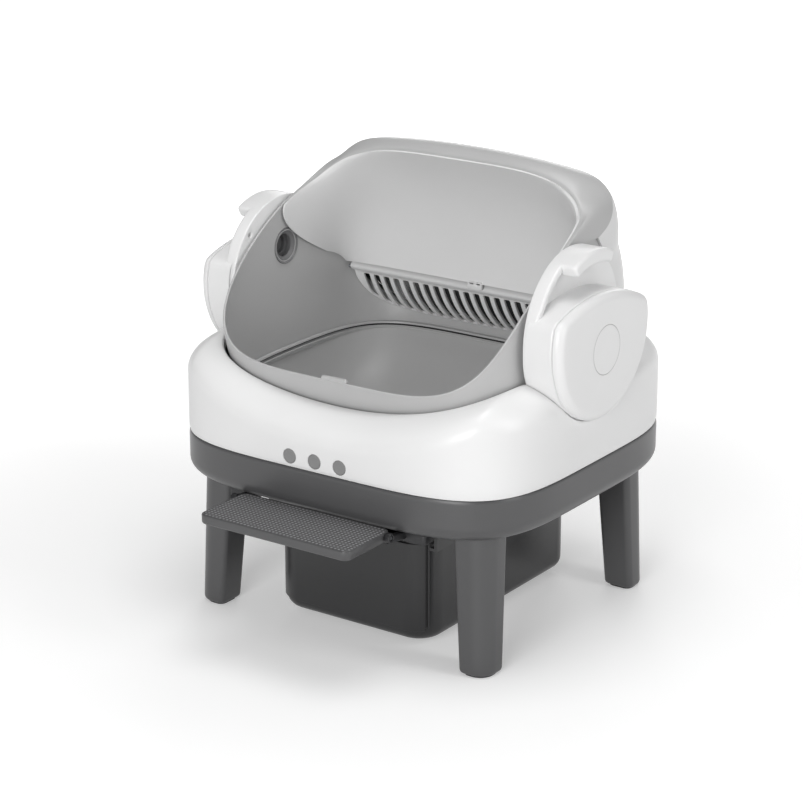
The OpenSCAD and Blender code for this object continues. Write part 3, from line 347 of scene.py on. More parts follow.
def round_edges(bm, keep):
    """Beads as thick as the wall along a surface's open edges."""
    section = ring_points(HALF_WALL, sides=BEAD_SIDES)
    return [
        sweep(even(points, BEAD_STEP, closed), section, closed)
        for points, closed in open_edges(bm, keep, HALF_WALL)
    ]


def join(bm, *others):
    """Adds other meshes to the first one and frees them."""
    for other in others:
        bmesh.ops.recalc_face_normals(other, faces=other.faces)
        spare = bpy.data.meshes.new("spare")
        other.to_mesh(spare)
        other.free()
        bm.from_mesh(spare)
        bpy.data.meshes.remove(spare)
    return bm


def outward(bm, centre):
    """Turns a surface so that its faces point away from centre."""
    bmesh.ops.recalc_face_normals(bm, faces=bm.faces)
    away = sum((f.calc_center_median() - centre).dot(f.normal) * f.calc_area() for f in bm.faces)
    if away < 0:
        bmesh.ops.reverse_faces(bm, faces=bm.faces)


def inward(bm, centre):
    """Turns a surface so that its faces point towards centre."""
    outward(bm, centre)
    bmesh.ops.reverse_faces(bm, faces=bm.faces)


def thicken(bm, wall):
    """Gives a surface a wall on its inner side."""
    bmesh.ops.solidify(bm, geom=bm.faces, thickness=wall)


def rings_wall(rings, caps=True):
    """A closed wall through rings of points that have as many points each."""
    n = len(rings[0])
    rows = len(rings) - 1
    bm = surface(n, rows, lambda u, v: Vector(rings[round(v * rows)][round(u * n) % n]), wrap=True)
    if caps:
        bmesh.ops.holes_fill(bm, edges=bm.edges, sides=0)
    bmesh.ops.recalc_face_normals(bm, faces=bm.faces)
    return bm


def plate(outline, holes, place, depth, bevel, segments=3):
    """A flat plate with holes. Outlines are lists of a, b and place(a, b, c) puts a point in space."""
    bm = bmesh.new()
    for loop in (outline, *holes):
        verts = [bm.verts.new((a, b, 0.0)) for a, b in loop]
        for a, b in zip(verts, verts[1:] + verts[:1]):
            bm.edges.new((a, b))
    bmesh.ops.triangle_fill(bm, edges=bm.edges, use_beauty=True, use_dissolve=False)
    made = bmesh.ops.extrude_face_region(bm, geom=bm.faces[:], use_keep_orig=True)["geom"]
    for v in made:
        if isinstance(v, bmesh.types.BMVert):
            v.co.z = depth
    bmesh.ops.recalc_face_normals(bm, faces=bm.faces)
    sharp = [e for e in bm.edges if e.is_manifold and e.calc_face_angle() > radians(50)]
    bmesh.ops.bevel(bm, geom=sharp, affect="EDGES", offset=bevel, segments=segments, profile=0.5, material=-1)
    for v in bm.verts:
        v.co = place(*v.co)
    bmesh.ops.recalc_face_normals(bm, faces=bm.faces)
    return bm


def ring_points(r, centre=(0.0, 0.0), sides=64, start=0.0, end=2 * pi):
    """Points round a circle, or along an arc with both its ends."""
    steps = sides if end - start >= 2 * pi else sides + 1
    turns = [start + (end - start) * i / sides for i in range(steps)]
    return [(centre[0] + r * cos(turn), centre[1] + r * sin(turn)) for turn in turns]


def quarter(steps):
    """Sines and cosines along a quarter turn."""
    return [(sin(pi / 2 * i / steps), cos(pi / 2 * i / steps)) for i in range(steps + 1)]


def rounded_rect(a, b, r, steps=6):
    """Outline of a rectangle of half sizes a and b with round corners."""
    points = []
    for sx, sy, start in ((1, 1, 0.0), (-1, 1, pi / 2), (-1, -1, pi), (1, -1, 1.5 * pi)):
        points += ring_points(r, (sx * (a - r), sy * (b - r)), steps, start, start + pi / 2)
    return points


def turned(profile, place, sides=64):
    """A body turned about an axis: profile holds distance along it and radius, place(a, b, c) sets it."""
    return rings_wall([[place(along, *p) for p in ring_points(r, sides=sides)] for along, r in profile])


def ease(t):
    """A smooth rise from 0 to 1."""
    k = max(0.0, min(1.0, t))
    return k * k * (3 - 2 * k)


def finish_piece(bm, name, body, nodes, slot, smooth=38, material=None):
    """Turns a bmesh in millimetres into a piece in metres that rides on a body."""
    bmesh.ops.scale(bm, vec=(MM, MM, MM), verts=bm.verts)
    mesh = bpy.data.meshes.new(name)
    bm.to_mesh(mesh)
    bm.free()
    mesh.shade_smooth()
    mesh.set_sharp_from_angle(angle=radians(smooth))
    mesh.materials.append(material or MATERIALS[slot])
    piece = bpy.data.objects.new(name, mesh)
    bpy.context.scene.collection.objects.link(piece)
    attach(piece, body)
    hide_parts(*nodes)


# Materials

# Size of the slow drift in gloss and colour, as mould flow leaves it, and how far each drifts
CLOUD = 90.0
GLOSS_DRIFT = 0.05
SHADE_DRIFT = 0.02
# Colour of the painted shadow in hollows where little light falls
SHADOW_GREY = "#1c1c1d"


def linear(code):
    """Turns an sRGB hex colour into a linear one."""
    parts = [int(code[i : i + 2], 16) / 255 for i in (1, 3, 5)]
    return [c / 12.92 if c <= 0.04045 else ((c + 0.055) / 1.055) ** 2.4 for c in parts] + [1.0]


def empty_tree(owner):
    """The empty node tree of a material or world."""
    owner.use_nodes = True
    owner.node_tree.nodes.clear()
    return owner.node_tree


def add(tree, kind, settings=None, links=None):
    """Adds a node, sets its properties and inputs, and links its inputs."""
    node = tree.nodes.new("ShaderNode" + kind)
    for key, value in (settings or {}).items():
        if isinstance(key, str) and hasattr(node, key):
            setattr(node, key, value)
        else:
            node.inputs[key].default_value = value
    for key, source in (links or {}).items():
        tree.links.new(source, node.inputs[key])
    return node


def shade_behind_grille(tree, texture):
    """Mask of painted shade: 1 on the drum's inner walls behind the grille, where little light falls, and 0
    elsewhere.
    """
    place = texture.outputs["Object"]
    start = (GRILLE_BACK.dot(Vector(GRILLE_TOP)) + 4.0) * MM
    top = GRILLE_TOP[1] * MM
    across = add(tree, "VectorMath",
                 {"operation": "DOT_PRODUCT", 1: (0.0, GRILLE_BACK.x, GRILLE_BACK.y)}, {0: place})
    past = add(tree, "MapRange", {"From Min": start, "From Max": start + 2 * MM},
               {"Value": across.outputs["Value"]})
    out = add(tree, "VectorMath", {"operation": "SUBTRACT", 1: AXIS * MM}, {0: place})
    facing = add(tree, "VectorMath", {"operation": "DOT_PRODUCT"},
                 {0: texture.outputs["Normal"], 1: out.outputs["Vector"]})
    inside = add(tree, "MapRange", {"From Min": 0.0, "From Max": -20 * MM},
                 {"Value": facing.outputs["Value"]})
    parts = add(tree, "SeparateXYZ", None, {"Vector": place})
    below = add(tree, "MapRange", {"From Min": top, "From Max": top - 4 * MM},
                {"Value": parts.outputs["Z"]})
    mask = past
    for other in (inside, below):
        mask = add(tree, "Math", {"operation": "MULTIPLY"},
                   {0: mask.outputs[0], 1: other.outputs[0]})
    return mask.outputs[0]


def shade_under_rim(tree, texture):
    """Mask of painted shade: 1 in the narrow recess under the liner's rim, and 0 elsewhere."""
    height = add(tree, "SeparateXYZ", None, {"Vector": texture.outputs["Object"]}).outputs["Z"]
    low = add(tree, "Math", {"operation": "GREATER_THAN", 1: (LINER_Z - 5.3) * MM}, {0: height})
    high = add(tree, "Math", {"operation": "LESS_THAN", 1: (LINER_Z - 2.5) * MM}, {0: height})
    both = add(tree, "Math", {"operation": "MULTIPLY"}, {0: low.outputs[0], 1: high.outputs[0]})
    return both.outputs[0]


def moulded(name, colour, roughness, grain_mm, grain_depth, metallic=0.0, shadow=None):
    """A finish with fine grain, drawn coarse enough to show, cloudy gloss and a slight drift in colour, and
    painted shadow where a shadow mask is given.
    """
    material = bpy.data.materials.new(name)
    tree = empty_tree(material)
    texture = add(tree, "TexCoord")
    place = texture.outputs["Object"]
    cloud = add(tree, "TexNoise", {"Scale": 1 / (CLOUD * MM), "Detail": 1.0}, {"Vector": place})
    grain = add(tree, "TexNoise", {"Scale": 1 / (grain_mm * MM), "Detail": 2.0, "Roughness": 0.6},
                {"Vector": place})
    base = linear(colour)[:3]
    dark = [c * (1 - SHADE_DRIFT) for c in base] + [1.0]
    light = [min(1.0, c * (1 + SHADE_DRIFT)) for c in base] + [1.0]
    tint = add(tree, "Mix", {"data_type": "RGBA", 6: dark, 7: light}, {0: cloud.outputs["Fac"]})
    # Painted shadow: the colour turns to SHADOW_GREY where the mask is 1
    if shadow:
        tint = add(tree, "Mix", {"data_type": "RGBA", 7: linear(SHADOW_GREY)},
                   {0: shadow(tree, texture), 6: tint.outputs[2]})
    gloss = add(tree, "MapRange", {"From Min": 0.1, "From Max": 0.9, "interpolation_type": "SMOOTHSTEP",
                "To Min": roughness - GLOSS_DRIFT, "To Max": roughness + GLOSS_DRIFT},
                {"Value": cloud.outputs["Fac"]})
    bump = add(tree, "Bump", {"Strength": 1.0, "Distance": grain_depth * MM},
               {"Height": grain.outputs["Fac"]})
    shader = add(tree, "BsdfPrincipled", {"Metallic": metallic, "IOR": 1.5},
                 {"Base Color": tint.outputs[2], "Roughness": gloss.outputs["Result"],
                  "Normal": bump.outputs["Normal"]})
    add(tree, "OutputMaterial", None, {"Surface": shader.outputs["BSDF"]})
    return material


MATERIALS = {
    # ABS from a polished mould: clean white with broad, soft highlights on the round edges
    "white_abs": moulded("moulded_white_abs", "#e6e6e6", 0.35, 1.6, 0.010),
    # ABS from an etched mould: dark grey, with a fine tooth that spreads the highlight
    "charcoal_abs": moulded("textured_charcoal_abs", "#4d4d4e", 0.36, 1.4, 0.02),
    # ABS of the drum: even mid grey and satin, with painted shade on its inner walls behind the grille
    "drum_grey": moulded("moulded_grey_abs", "#b4b4b4", 0.38, 1.6, 0.012, shadow=shade_behind_grille),
    # The same ABS in a paler grey, for the hood, with painted shade behind the grille
    "hood_grey": moulded("moulded_pale_grey_abs", "#dadada", 0.38, 1.6, 0.012, shadow=shade_behind_grille),
    # Polypropylene: waxier than ABS, with streaks of gloss along the curved floor, and painted shade in the
    # recess under the rim
    "liner_grey": moulded("moulded_liner_polypropylene", "#b6b6b6", 0.34, 1.8, 0.015, shadow=shade_under_rim),
    # Near-black polypropylene: only the edges and the ribs catch light
    "drawer_plastic": moulded("moulded_dark_polypropylene", "#29292a", 0.34, 1.6, 0.02),
    # Grey polypropylene of the bag ring: dull and plain
    "ring_plastic": moulded("moulded_grey_polypropylene", "#8a8a8a", 0.42, 1.6, 0.02),
    # Satin ABS caps: flat grey discs with a faint bright edge
    "button_plastic": moulded("satin_button_abs", "#828282", 0.38, 1.2, 0.01),
    # Darker ABS of the port's ring: sets the mouth off from the wall
    "port_plastic": moulded("moulded_port_abs", "#6e6e6f", 0.4, 1.2, 0.01),
    # Black ABS: holes and brackets read as dark spots
    "black_plastic": moulded("moulded_black_abs", "#202022", 0.45, 1.2, 0.01),
    # Undyed acetal of the gears: creamy white and slick
    "gear_plastic": moulded("natural_acetal", "#d8d6cf", 0.35, 1.2, 0.006),
    # Moulded rubber: black and matt
    "foot_rubber": moulded("moulded_rubber", "#2c2c2e", 0.75, 1.2, 0.03),
    # Rubber tread: matt grey with rows of small studs and painted shade between them
    "tread_rubber": moulded("moulded_tread_rubber", "#929294", 0.62, 1.2, 0.03),
    # Zinc plating: pale, slightly blue metal
    "zinc_steel": moulded("zinc_plated_steel", "#b9bcc0", 0.34, 1.0, 0.006, metallic=1.0),
    # Machined steel of the weight sensors: darker and a little duller than the plating
    "sensor_steel": moulded("machined_steel", "#a9adb2", 0.36, 0.8, 0.006, metallic=1.0),
    # Turned steel of the trunnions: bright, with a fine tool grain
    "trunnion_steel": moulded("turned_steel", "#9fa3a8", 0.34, 0.8, 0.004, metallic=1.0),
    # Tinned steel of the switches: the palest of the metals
    "switch_metal": moulded("tinned_steel", "#c4c6c8", 0.36, 0.8, 0.004, metallic=1.0),
    # Deep-drawn steel of the motor's can: grey, with soft reflections
    "motor_can": moulded("drawn_motor_steel", "#8d8f92", 0.36, 1.0, 0.006, metallic=1.0),
    # Die-cast alloy: a grainy skin that dulls the metal
    "gearbox_alloy": moulded("die_cast_alloy", "#b8babd", 0.42, 1.2, 0.02, metallic=1.0),
    # Solder mask: satin green
    "circuit_board": moulded("solder_masked_board", "#1f5a34", 0.4, 1.5, 0.02),
    # Gold plating: small warm glints
    "contact_brass": moulded("gold_plated_contact", "#c9a24a", 0.34, 0.8, 0.004, metallic=1.0),
    # Sintered bronze: brown, porous and dull
    "bush_brass": moulded("sintered_bronze", "#b98f4d", 0.45, 0.8, 0.02, metallic=1.0),
}

# The housing's ABS again, for the cover that carries a fine ring groove with painted shade in it
COVER_ABS = moulded("moulded_white_cover_abs", "#e6e6e6", 0.35, 1.6, 0.010)

RING_MARK = (-8.0, 383.0)
RING_MARK_R = 31.0
RING_MARK_W = 1.6
RING_MARK_DEPTH = 0.5
# Painted shade inside the ring's groove
RING_MARK_SHADE = "#b8b8b8"
STUD_PITCH = 5.4
STUD_HEIGHT = 0.7
# Painted shade between the studs
STUD_SHADE = "#555556"


def emboss(material, height, depth, shade_colour):
    """Raises a finish where height is 1, and paints shade into its colour where height is 0."""
    tree = material.node_tree
    shader = next(n for n in tree.nodes if n.type == "BSDF_PRINCIPLED")
    normal, colour = shader.inputs["Normal"], shader.inputs["Base Color"]
    bump = add(tree, "Bump", {"Strength": 1.0, "Distance": depth * MM},
               {"Height": height, "Normal": normal.links[0].from_socket})
    tree.links.new(bump.outputs["Normal"], normal)
    shade = add(tree, "Mix", {"data_type": "RGBA", 6: linear(shade_colour)},
                {0: height, 7: colour.links[0].from_socket})
    tree.links.new(shade.outputs[2], colour)


def add_ring_mark(material):
    """Adds a fine round groove, with painted shade inside it, to a finish that faces sideways."""
    tree = material.node_tree
    place = add(tree, "TexCoord").outputs["Object"]
    flat = add(tree, "VectorMath", {"operation": "MULTIPLY_ADD", 1: (0.0, 1.0, 1.0),
               2: (0.0, -RING_MARK[0] * MM, -RING_MARK[1] * MM)}, {0: place})
    reach = add(tree, "VectorMath", {"operation": "LENGTH"}, {0: flat.outputs["Vector"]})
    off = add(tree, "Math", {"operation": "SUBTRACT", 1: RING_MARK_R * MM},
              {0: reach.outputs["Value"]})
    far = add(tree, "Math", {"operation": "ABSOLUTE"}, {0: off.outputs[0]})
    height = add(tree, "MapRange", {"From Max": RING_MARK_W * MM / 2,
                 "interpolation_type": "SMOOTHSTEP"}, {"Value": far.outputs[0]})
    emboss(material, height.outputs["Result"], RING_MARK_DEPTH, RING_MARK_SHADE)


def add_studs(material):
    """Adds rows of small round studs, with painted shade between them, to a finish that faces up."""
    tree = material.node_tree
    place = add(tree, "TexCoord").outputs["Object"]
    flat = add(tree, "VectorMath", {"operation": "MULTIPLY", 1: (1.0, 1.0, 0.0)}, {0: place})
    lattice = add(tree, "TexVoronoi", {"Scale": 1 / (STUD_PITCH * MM), "Randomness": 0.0},
                  {"Vector": flat.outputs["Vector"]})
    height = add(tree, "MapRange", {"From Min": 0.34, "From Max": 0.22,
                 "interpolation_type": "SMOOTHSTEP"}, {"Value": lattice.outputs["Distance"]})
    emboss(material, height.outputs["Result"], STUD_HEIGHT, STUD_SHADE)


add_ring_mark(COVER_ABS)
add_studs(MATERIALS["tread_rubber"])

for row in frame["record"]["subparts"]:
    node = frame["nodes"][row["node"]]
    node.data.materials.clear()
    node.data.materials.append(MATERIALS[row["material_slot"]])


# Shapes of the body


def body_outline(turn, inset=0.0):
    """A point on the body's rounded outline, in a direction from its middle."""
    a, b = HALF_W - inset, HALF_D - inset
    k = (abs(cos(turn) / a) ** BODY_POWER + abs(sin(turn) / b) ** BODY_POWER) ** (-1 / BODY_POWER)
    return k * cos(turn), k * sin(turn)


def body_share(x, y):
    """How far out a point lies: 0 in the middle and 1 on the outline."""
    return (abs(x / HALF_W) ** BODY_POWER + abs(y / HALF_D) ** BODY_POWER) ** (1 / BODY_POWER)


def saddle(x):
    """Height of the housing's saddle, inside its round shoulder."""
    return COLLAR_Z + min(abs(x), SADDLE_HALF) ** 2 / (2 * SADDLE_R)


def housing_top(x, y):
    """Height of the housing's top, with its shoulder."""
    k = min(1.0, max(0.0, (body_share(x, y) - SHOULDER_START) / (1 - SHOULDER_START)))
    return saddle(x) - SHOULDER_DROP * (1 - sqrt(1 - k * k))


def seam_groove(depth, away):
    """How far a wall draws in near the seam, where away is 0."""
    return depth * max(0.0, 1 - 8 * away) ** 2


def squarish(angle, power):
    """Radius of a unit outline between a circle and a square, in a direction."""
    return (abs(cos(angle)) ** power + abs(sin(angle)) ** power) ** (-1 / power)


def in_roll(p, r, half, power):
    """Positive inside a squarish solid turned about the drum's axis."""
    return 1 - (hypot(p.y, p.z - AXIS_Z) / r) ** power - (abs(p.x) / half) ** power


def in_bowl(p, gap):
    """Positive further in from the bowl's inner wall than a gap."""
    return in_roll(p, BOWL_R - WALL - gap, DRUM_HALF - WALL - gap, BOWL_POWER)


def in_seat(p, grow):
    """Positive inside a pod's seat, which is open towards the top."""
    depth = SEAT_R + grow - hypot(p.y - LOW_CENTRE[0], min(p.z - LOW_CENTRE[1], 0.0))
    return min(depth, abs(p.x) - SEAT_X + grow)


def in_collar(p):
    """Positive inside the hole that the drum hangs in."""
    front = in_roll(p, COLLAR_R + HALF_WALL, WELL_HALF + HALF_WALL, BOWL_POWER)
    if p.y < 0:
        return front
    return max(front, in_roll(p, WELL_R + HALF_WALL, WELL_HALF + HALF_WALL, HOOD_POWER))


def roll_place(r, half, power, start, end):
    """Maps u along the profile and v round the axis to a point on a roll."""

    def place(u, v):
        angle = pi * u
        turn = start + (end - start) * v
        k = squarish(angle, power)
        rho = r * k * sin(angle)
        return Vector((-half * k * cos(angle), rho * cos(turn), AXIS_Z + rho * sin(turn)))

    return place


# Housing

# Shares of the profile where the wall ends and where the shoulder ends, and its innermost reach
WALL_SHARE = 0.3
ARC_SHARE = 0.8
INNER_SHARE = 0.66
HOUSING_GROOVE = 1.2
CHASSIS_GROOVE = 1.1


def housing_place(u, v):
    """A point of the housing, from the seam at v = 0 over the shoulder towards the middle."""
    turn = 2 * pi * u
    x, y = body_outline(turn)
    if v < WALL_SHARE:
        k = v / WALL_SHARE
        low, high = SEAM_Z + SEAM_GAP, housing_top(x, y)
        return Vector((*body_outline(turn, seam_groove(HOUSING_GROOVE, k)), low + (high - low) * k))
    if v < ARC_SHARE:
        angle = (v - WALL_SHARE) / (ARC_SHARE - WALL_SHARE) * pi / 2
        share = SHOULDER_START + (1 - SHOULDER_START) * cos(angle)
        rise = SHOULDER_DROP * (sin(angle) - 1)
    else:
        share = SHOULDER_START + (INNER_SHARE - SHOULDER_START) * (v - ARC_SHARE) / (1 - ARC_SHARE)
        rise = 0.0
    return Vector((x * share, y * share, saddle(x * share) + rise))


def make_seat(side):
    """The wall of the seat that a pod stands in."""

    def place(u, v):
        turn = pi + pi * u
        y = LOW_CENTRE[0] + SEAT_R * cos(turn)
        return Vector((side * (SEAT_X + v * SEAT_DEPTH), y, LOW_CENTRE[1] + SEAT_R * sin(turn)))

    seat = surface(120, 24, place)
    trim(seat, lambda p: p.z - housing_top(p.x, p.y) + HALF_WALL)
    trim(seat, lambda p: body_share(p.x, p.y) - 0.995)
    inward(seat, Vector((side * SEAT_X, *LOW_CENTRE)))
    thicken(seat, SEAT_WALL)
    return seat


def make_housing():
    shell = surface(360, 44, housing_place, wrap=True)
    trim(shell, in_collar)
    trim(shell, lambda p: in_seat(p, HALF_WALL))
    for x in (-BUTTON_PITCH, 0.0, BUTTON_PITCH):
        trim(shell, lambda p: BUTTON_R + BUTTON_GAP - hypot(p.x - x, p.z - BUTTON_Z) if p.y < 0 else -1.0)
    outward(shell, Vector((0, 0, SEAM_Z)))
    beads = round_edges(shell, lambda p: p.z > COLLAR_Z - 30)
    thicken(shell, WALL)

    lip = surface(160, 120, roll_place(COLLAR_R, WELL_HALF, BOWL_POWER, pi, 1.5 * pi))
    trim(lip, lambda p: p.z - housing_top(p.x, p.y) + HALF_WALL)
    trim(lip, lambda p: housing_top(p.x, p.y) - COLLAR_LIP - p.z)

    well = surface(160, 200, roll_place(WELL_R, WELL_HALF, HOOD_POWER, pi * 0.9, pi * 2.1))
    trim(well, lambda p: p.z - housing_top(p.x, p.y) + (COLLAR_LIP if p.y < 0 else HALF_WALL))
    trim(well, lambda p: WELL_LOW - p.z)

    for bm in (lip, well):
        trim(bm, lambda p: in_seat(p, 0.0))
        inward(bm, AXIS)
        thicken(bm, THIN_WALL)
    join(shell, *beads, lip, well, make_seat(-1), make_seat(1))
    finish_piece(shell, "housing_shell", "root", ["upper_housing"], "white_abs")


make_housing()


# Chassis


def chassis_place(u, v):
    """A point of the chassis, from the middle of its floor round the edge up to the seam."""
    turn = 2 * pi * u
    edge_z = CHASSIS_Z + CHASSIS_EDGE
    if v > 0.5:
        k = (v - 0.5) * 2
        x, y = body_outline(turn, seam_groove(CHASSIS_GROOVE, 1 - k))
        return Vector((x, y, edge_z + (SEAM_Z - 0.4 - edge_z) * k))
    if v > 0.25:
        angle = (0.5 - v) * 2 * pi
        x, y = body_outline(turn, CHASSIS_EDGE * (1 - cos(angle)))
        return Vector((x, y, CHASSIS_Z + CHASSIS_EDGE * (1 - sin(angle))))
    x, y = body_outline(turn, CHASSIS_EDGE)
    share = 0.1 + 0.9 * v * 4
    return Vector((x * share, y * share, CHASSIS_Z))


def make_chassis():
    bm = surface(288, 64, chassis_place, wrap=True)
    middle = [e for e in bm.edges if e.is_boundary and e.verts[0].co.z < SEAM_Z - 9]
    bmesh.ops.holes_fill(bm, edges=middle, sides=0)
    trim(bm, lambda p: min(CHUTE_HALF - abs(p.x), p.y - CHUTE_FRONT, CHUTE_BACK - p.y, CHASSIS_Z + 9 - p.z))
    trim(bm, lambda p: INLET_R - hypot(p.x - INLET[0], p.z - INLET[1]) if p.y > 0 else -1.0)
    outward(bm, Vector((0, 0, SEAM_Z)))
    thicken(bm, WALL)
    finish_piece(bm, "chassis_shell", "root", ["chassis_tray"], "charcoal_abs")


make_chassis()


# Legs

BODY_MEAN = 0.5 * (HALF_W + HALF_D)
LEG_STEPS = 12


def leg_ring(size, corner, centre, z, sx, sy):
    """A leg's outline: one large round corner points outwards, the others are small."""
    points = []
    for r, mx, my, start in ((corner, 1, 1, 0.0), (LEG_SMALL_R, -1, 1, pi / 2), (LEG_SMALL_R, -1, -1, pi),
                             (LEG_SMALL_R, 1, -1, 1.5 * pi)):
        points += ring_points(r, (mx * (size / 2 - r), my * (size / 2 - r)), 12, start, start + pi / 2)
    return [(sx * (centre[0] + a), sy * (centre[1] + b), z) for a, b in points]


def leg_limit(p):
    """Height at which a leg meets the round lower edge of the chassis."""
    out = max(0.0, body_share(p.x, p.y) * BODY_MEAN - (BODY_MEAN - CHASSIS_EDGE))
    return CHASSIS_Z + 0.5 + CHASSIS_EDGE * (1 - sqrt(max(0.0, 1 - (out / CHASSIS_EDGE) ** 2)))


def make_leg(name, sx, sy):
    rings = [leg_ring(size, corner, FOOT, z, sx, sy) for size, corner, z in LEG_FOOT]
    size, corner, z = LEG_FOOT[-1]
    for k in range(1, LEG_STEPS + 1):
        t = k / LEG_STEPS
        centre = (FOOT[0] - LEG_LEAN * t, FOOT[1] - LEG_LEAN * t)
        rings.append(leg_ring(size + LEG_GROWTH * t, corner + LEG_CORNER_GROWTH * t, centre,
                              z + (CHASSIS_Z + 12 - z) * t, sx, sy))
    bm = rings_wall(rings)
    trim(bm, lambda p: p.z - leg_limit(p))
    finish_piece(bm, "leg_shell_" + name, "root", ["leg_" + name], "charcoal_abs")


for leg_name, leg_x, leg_y in (("front_left", -1, -1), ("front_right", 1, -1), ("rear_left", -1, 1),
                               ("rear_right", 1, 1)):
    make_leg(leg_name, leg_x, leg_y)


# Drum


def in_opening(p):
    """Positive in front of the drum's rim and of the hood."""
    dy, dz = p.y - CORNER_Y, p.z - CORNER_Z
    if CORNER_TURN < atan2(dz, dy) < 0:
        return CORNER_R + HALF_WALL - hypot(dy, dz)
    return min(hypot(p.y - RIM_Y, p.z - RIM_Z) - RIM_R, HOOD_Y - p.y) + HALF_WALL


def behind_split(p):
    """Positive above and behind the line where bowl and hood meet."""
    run, drop = SPLIT_LOW_Y - SPLIT_Y, SPLIT_Z - SPLIT_LOW_Z
    across = ((p.y - SPLIT_Y) * drop + (p.z - SPLIT_Z) * run) / hypot(run, drop)
    return max(p.z - SPLIT_Z, min(across, p.z - SPLIT_LOW_Z))


def make_bowl():
    bm = surface(200, 300, roll_place(BOWL_R, DRUM_HALF, BOWL_POWER, 0, 2 * pi), wrap=True)
    trim(bm, in_opening)
    trim(bm, behind_split)
    trim(bm, lambda p: PORT_R - hypot(p.y - PORT[0], p.z - PORT[1]) if p.x < -DRUM_HALF / 2 else -1.0)
    outward(bm, AXIS)
    beads = round_edges(bm, lambda p: abs(in_opening(p)) < 0.3)
    thicken(bm, WALL)
    join(bm, *beads)
    finish_piece(bm, "bowl_shell", "drum", ["drum_bowl"], "drum_grey")


def crossing(cy, cz, radius, r, side):
    """Where a circle in the side view crosses a circle of radius r about the drum's axis."""
    dy, dz = cy, cz - AXIS_Z
    d = hypot(dy, dz)
    turn = atan2(dz, dy) + side * acos((d * d + r * r - radius * radius) / (2 * d * r))
    return r * cos(turn), AXIS_Z + r * sin(turn)


def opening_point(r, step):
    """Where the hood's opening, moved by a step, lies at a distance from the drum's axis."""
    cy, cz = CORNER_Y + step[0], CORNER_Z + step[1] - AXIS_Z
    if r < hypot(cy + CORNER_R * cos(CORNER_TURN), cz + CORNER_R * sin(CORNER_TURN)):
        return crossing(RIM_Y + step[0], RIM_Z + step[1], RIM_R, r, 1)
    if r < hypot(cy + CORNER_R, cz):
        return crossing(cy, cz + AXIS_Z, CORNER_R, r, -1)
    y = HOOD_Y + step[0]
    return y, AXIS_Z + sqrt(r * r - y * y)


def hood_edge(r, half, power, angle, step):
    """A point on the curve where a roll meets the hood's opening, moved by a step."""
    k = squarish(angle, power)
    return Vector((-half * k * cos(angle), *opening_point(r * k * sin(angle), step)))


def inner_edge(angle, step):
    """A point on the inner side of the hood's edge."""
    return hood_edge(LIP_R - LIP_WALL, LIP_HALF - LIP_WALL, LIP_POWER, angle, step)


def bowed(start, end, v, bow):
    """A point on the way from start to end, bowed out in the side view."""
    along = (end - start).normalized()
    return start.lerp(end, v) + bow * Vector((0.0, -along.z, along.y))


def band_place(u, v):
    """A point of the band from the hood's edge at v = 0 back to the crease at v = 1."""
    angle = BAND_FROM + (pi - 2 * BAND_FROM) * u
    lip = hood_edge(LIP_R, LIP_HALF, LIP_POWER, angle, (0.0, 0.0))
    crease = hood_edge(HOOD_R, DRUM_HALF, HOOD_POWER, angle, (BAND_W - 0.3, -BAND_DROP))
    bow = BAND_BOW * max(0.0, sin(pi * u)) ** BAND_BOW_POWER
    bow += SHOULDER_BOW * sin(pi * min(u, 1 - u, SHOULDER_SHARE) / SHOULDER_SHARE) ** 2
    return bowed(lip, crease, v, bow * 4 * v * (1 - v))


def band_wall_place(u, v):
    """The band with its edge turned in by a small radius until it meets the scoop."""
    edge = band_place(u, 0.0)
    start = LIP_ROUND / (band_place(u, 1.0) - edge).length
    if v >= LIP_SHARE:
        return band_place(u, start + (1 - start) * (v - LIP_SHARE) / (1 - LIP_SHARE))
    back = 2 * (1 - v / LIP_SHARE)
    inner = inner_edge(BAND_FROM + (pi - 2 * BAND_FROM) * u, (0.0, 0.0)) - edge
    turn = pi / 2 * min(back, 1.0)
    ahead = band_place(u, start) - edge
    rounded = (1 - sin(turn)) * ahead + LIP_ROUND * (1 - cos(turn)) * inner.normalized()
    return edge + rounded + inner * max(0.0, back - 1) * 0.9


def shell_place(u, v):
    """A point of the hood's back, which blends from the hood's profile into the bowl's."""
    angle = BAND_FROM + (pi - 2 * BAND_FROM) * u
    crease = hood_edge(HOOD_R, DRUM_HALF, HOOD_POWER, angle, (BAND_W, -BAND_DROP))
    top = atan2(crease.z - AXIS_Z, crease.y)
    turn = top + (SHELL_END - top) * v
    mix = ease((turn - BLEND_FROM) / (BLEND_TO - BLEND_FROM))
    k = squarish(angle, BOWL_POWER + (HOOD_POWER - BOWL_POWER) * mix)
    rho = (BOWL_R + (HOOD_R - BOWL_R) * mix) * k * sin(angle)
    return Vector((-DRUM_HALF * k * cos(angle), rho * cos(turn), AXIS_Z + rho * sin(turn)))


def make_hood_shell():
    bm = surface(180, 90, shell_place)
    trim(bm, lambda p: SPLIT_GAP - behind_split(p))
    outward(bm, AXIS)
    thicken(bm, WALL)
    finish_piece(bm, "hood_back", "drum", ["hood_shell"], "hood_grey")


def make_hood_band():
    bm = surface(180, 36, band_wall_place)
    trim(bm, lambda p: SPLIT_Z + SPLIT_GAP - p.z)
    outward(bm, Vector((0, 60, AXIS_Z)))
    thicken(bm, WALL)
    finish_piece(bm, "hood_front_band", "drum", ["hood_band"], "drum_grey")


PANEL_STEP = (0.3, 0.0)
PANEL_END = inner_edge(PANEL_FROM, PANEL_STEP).x
PANEL_HALF = DRUM_HALF - WALL - 0.6


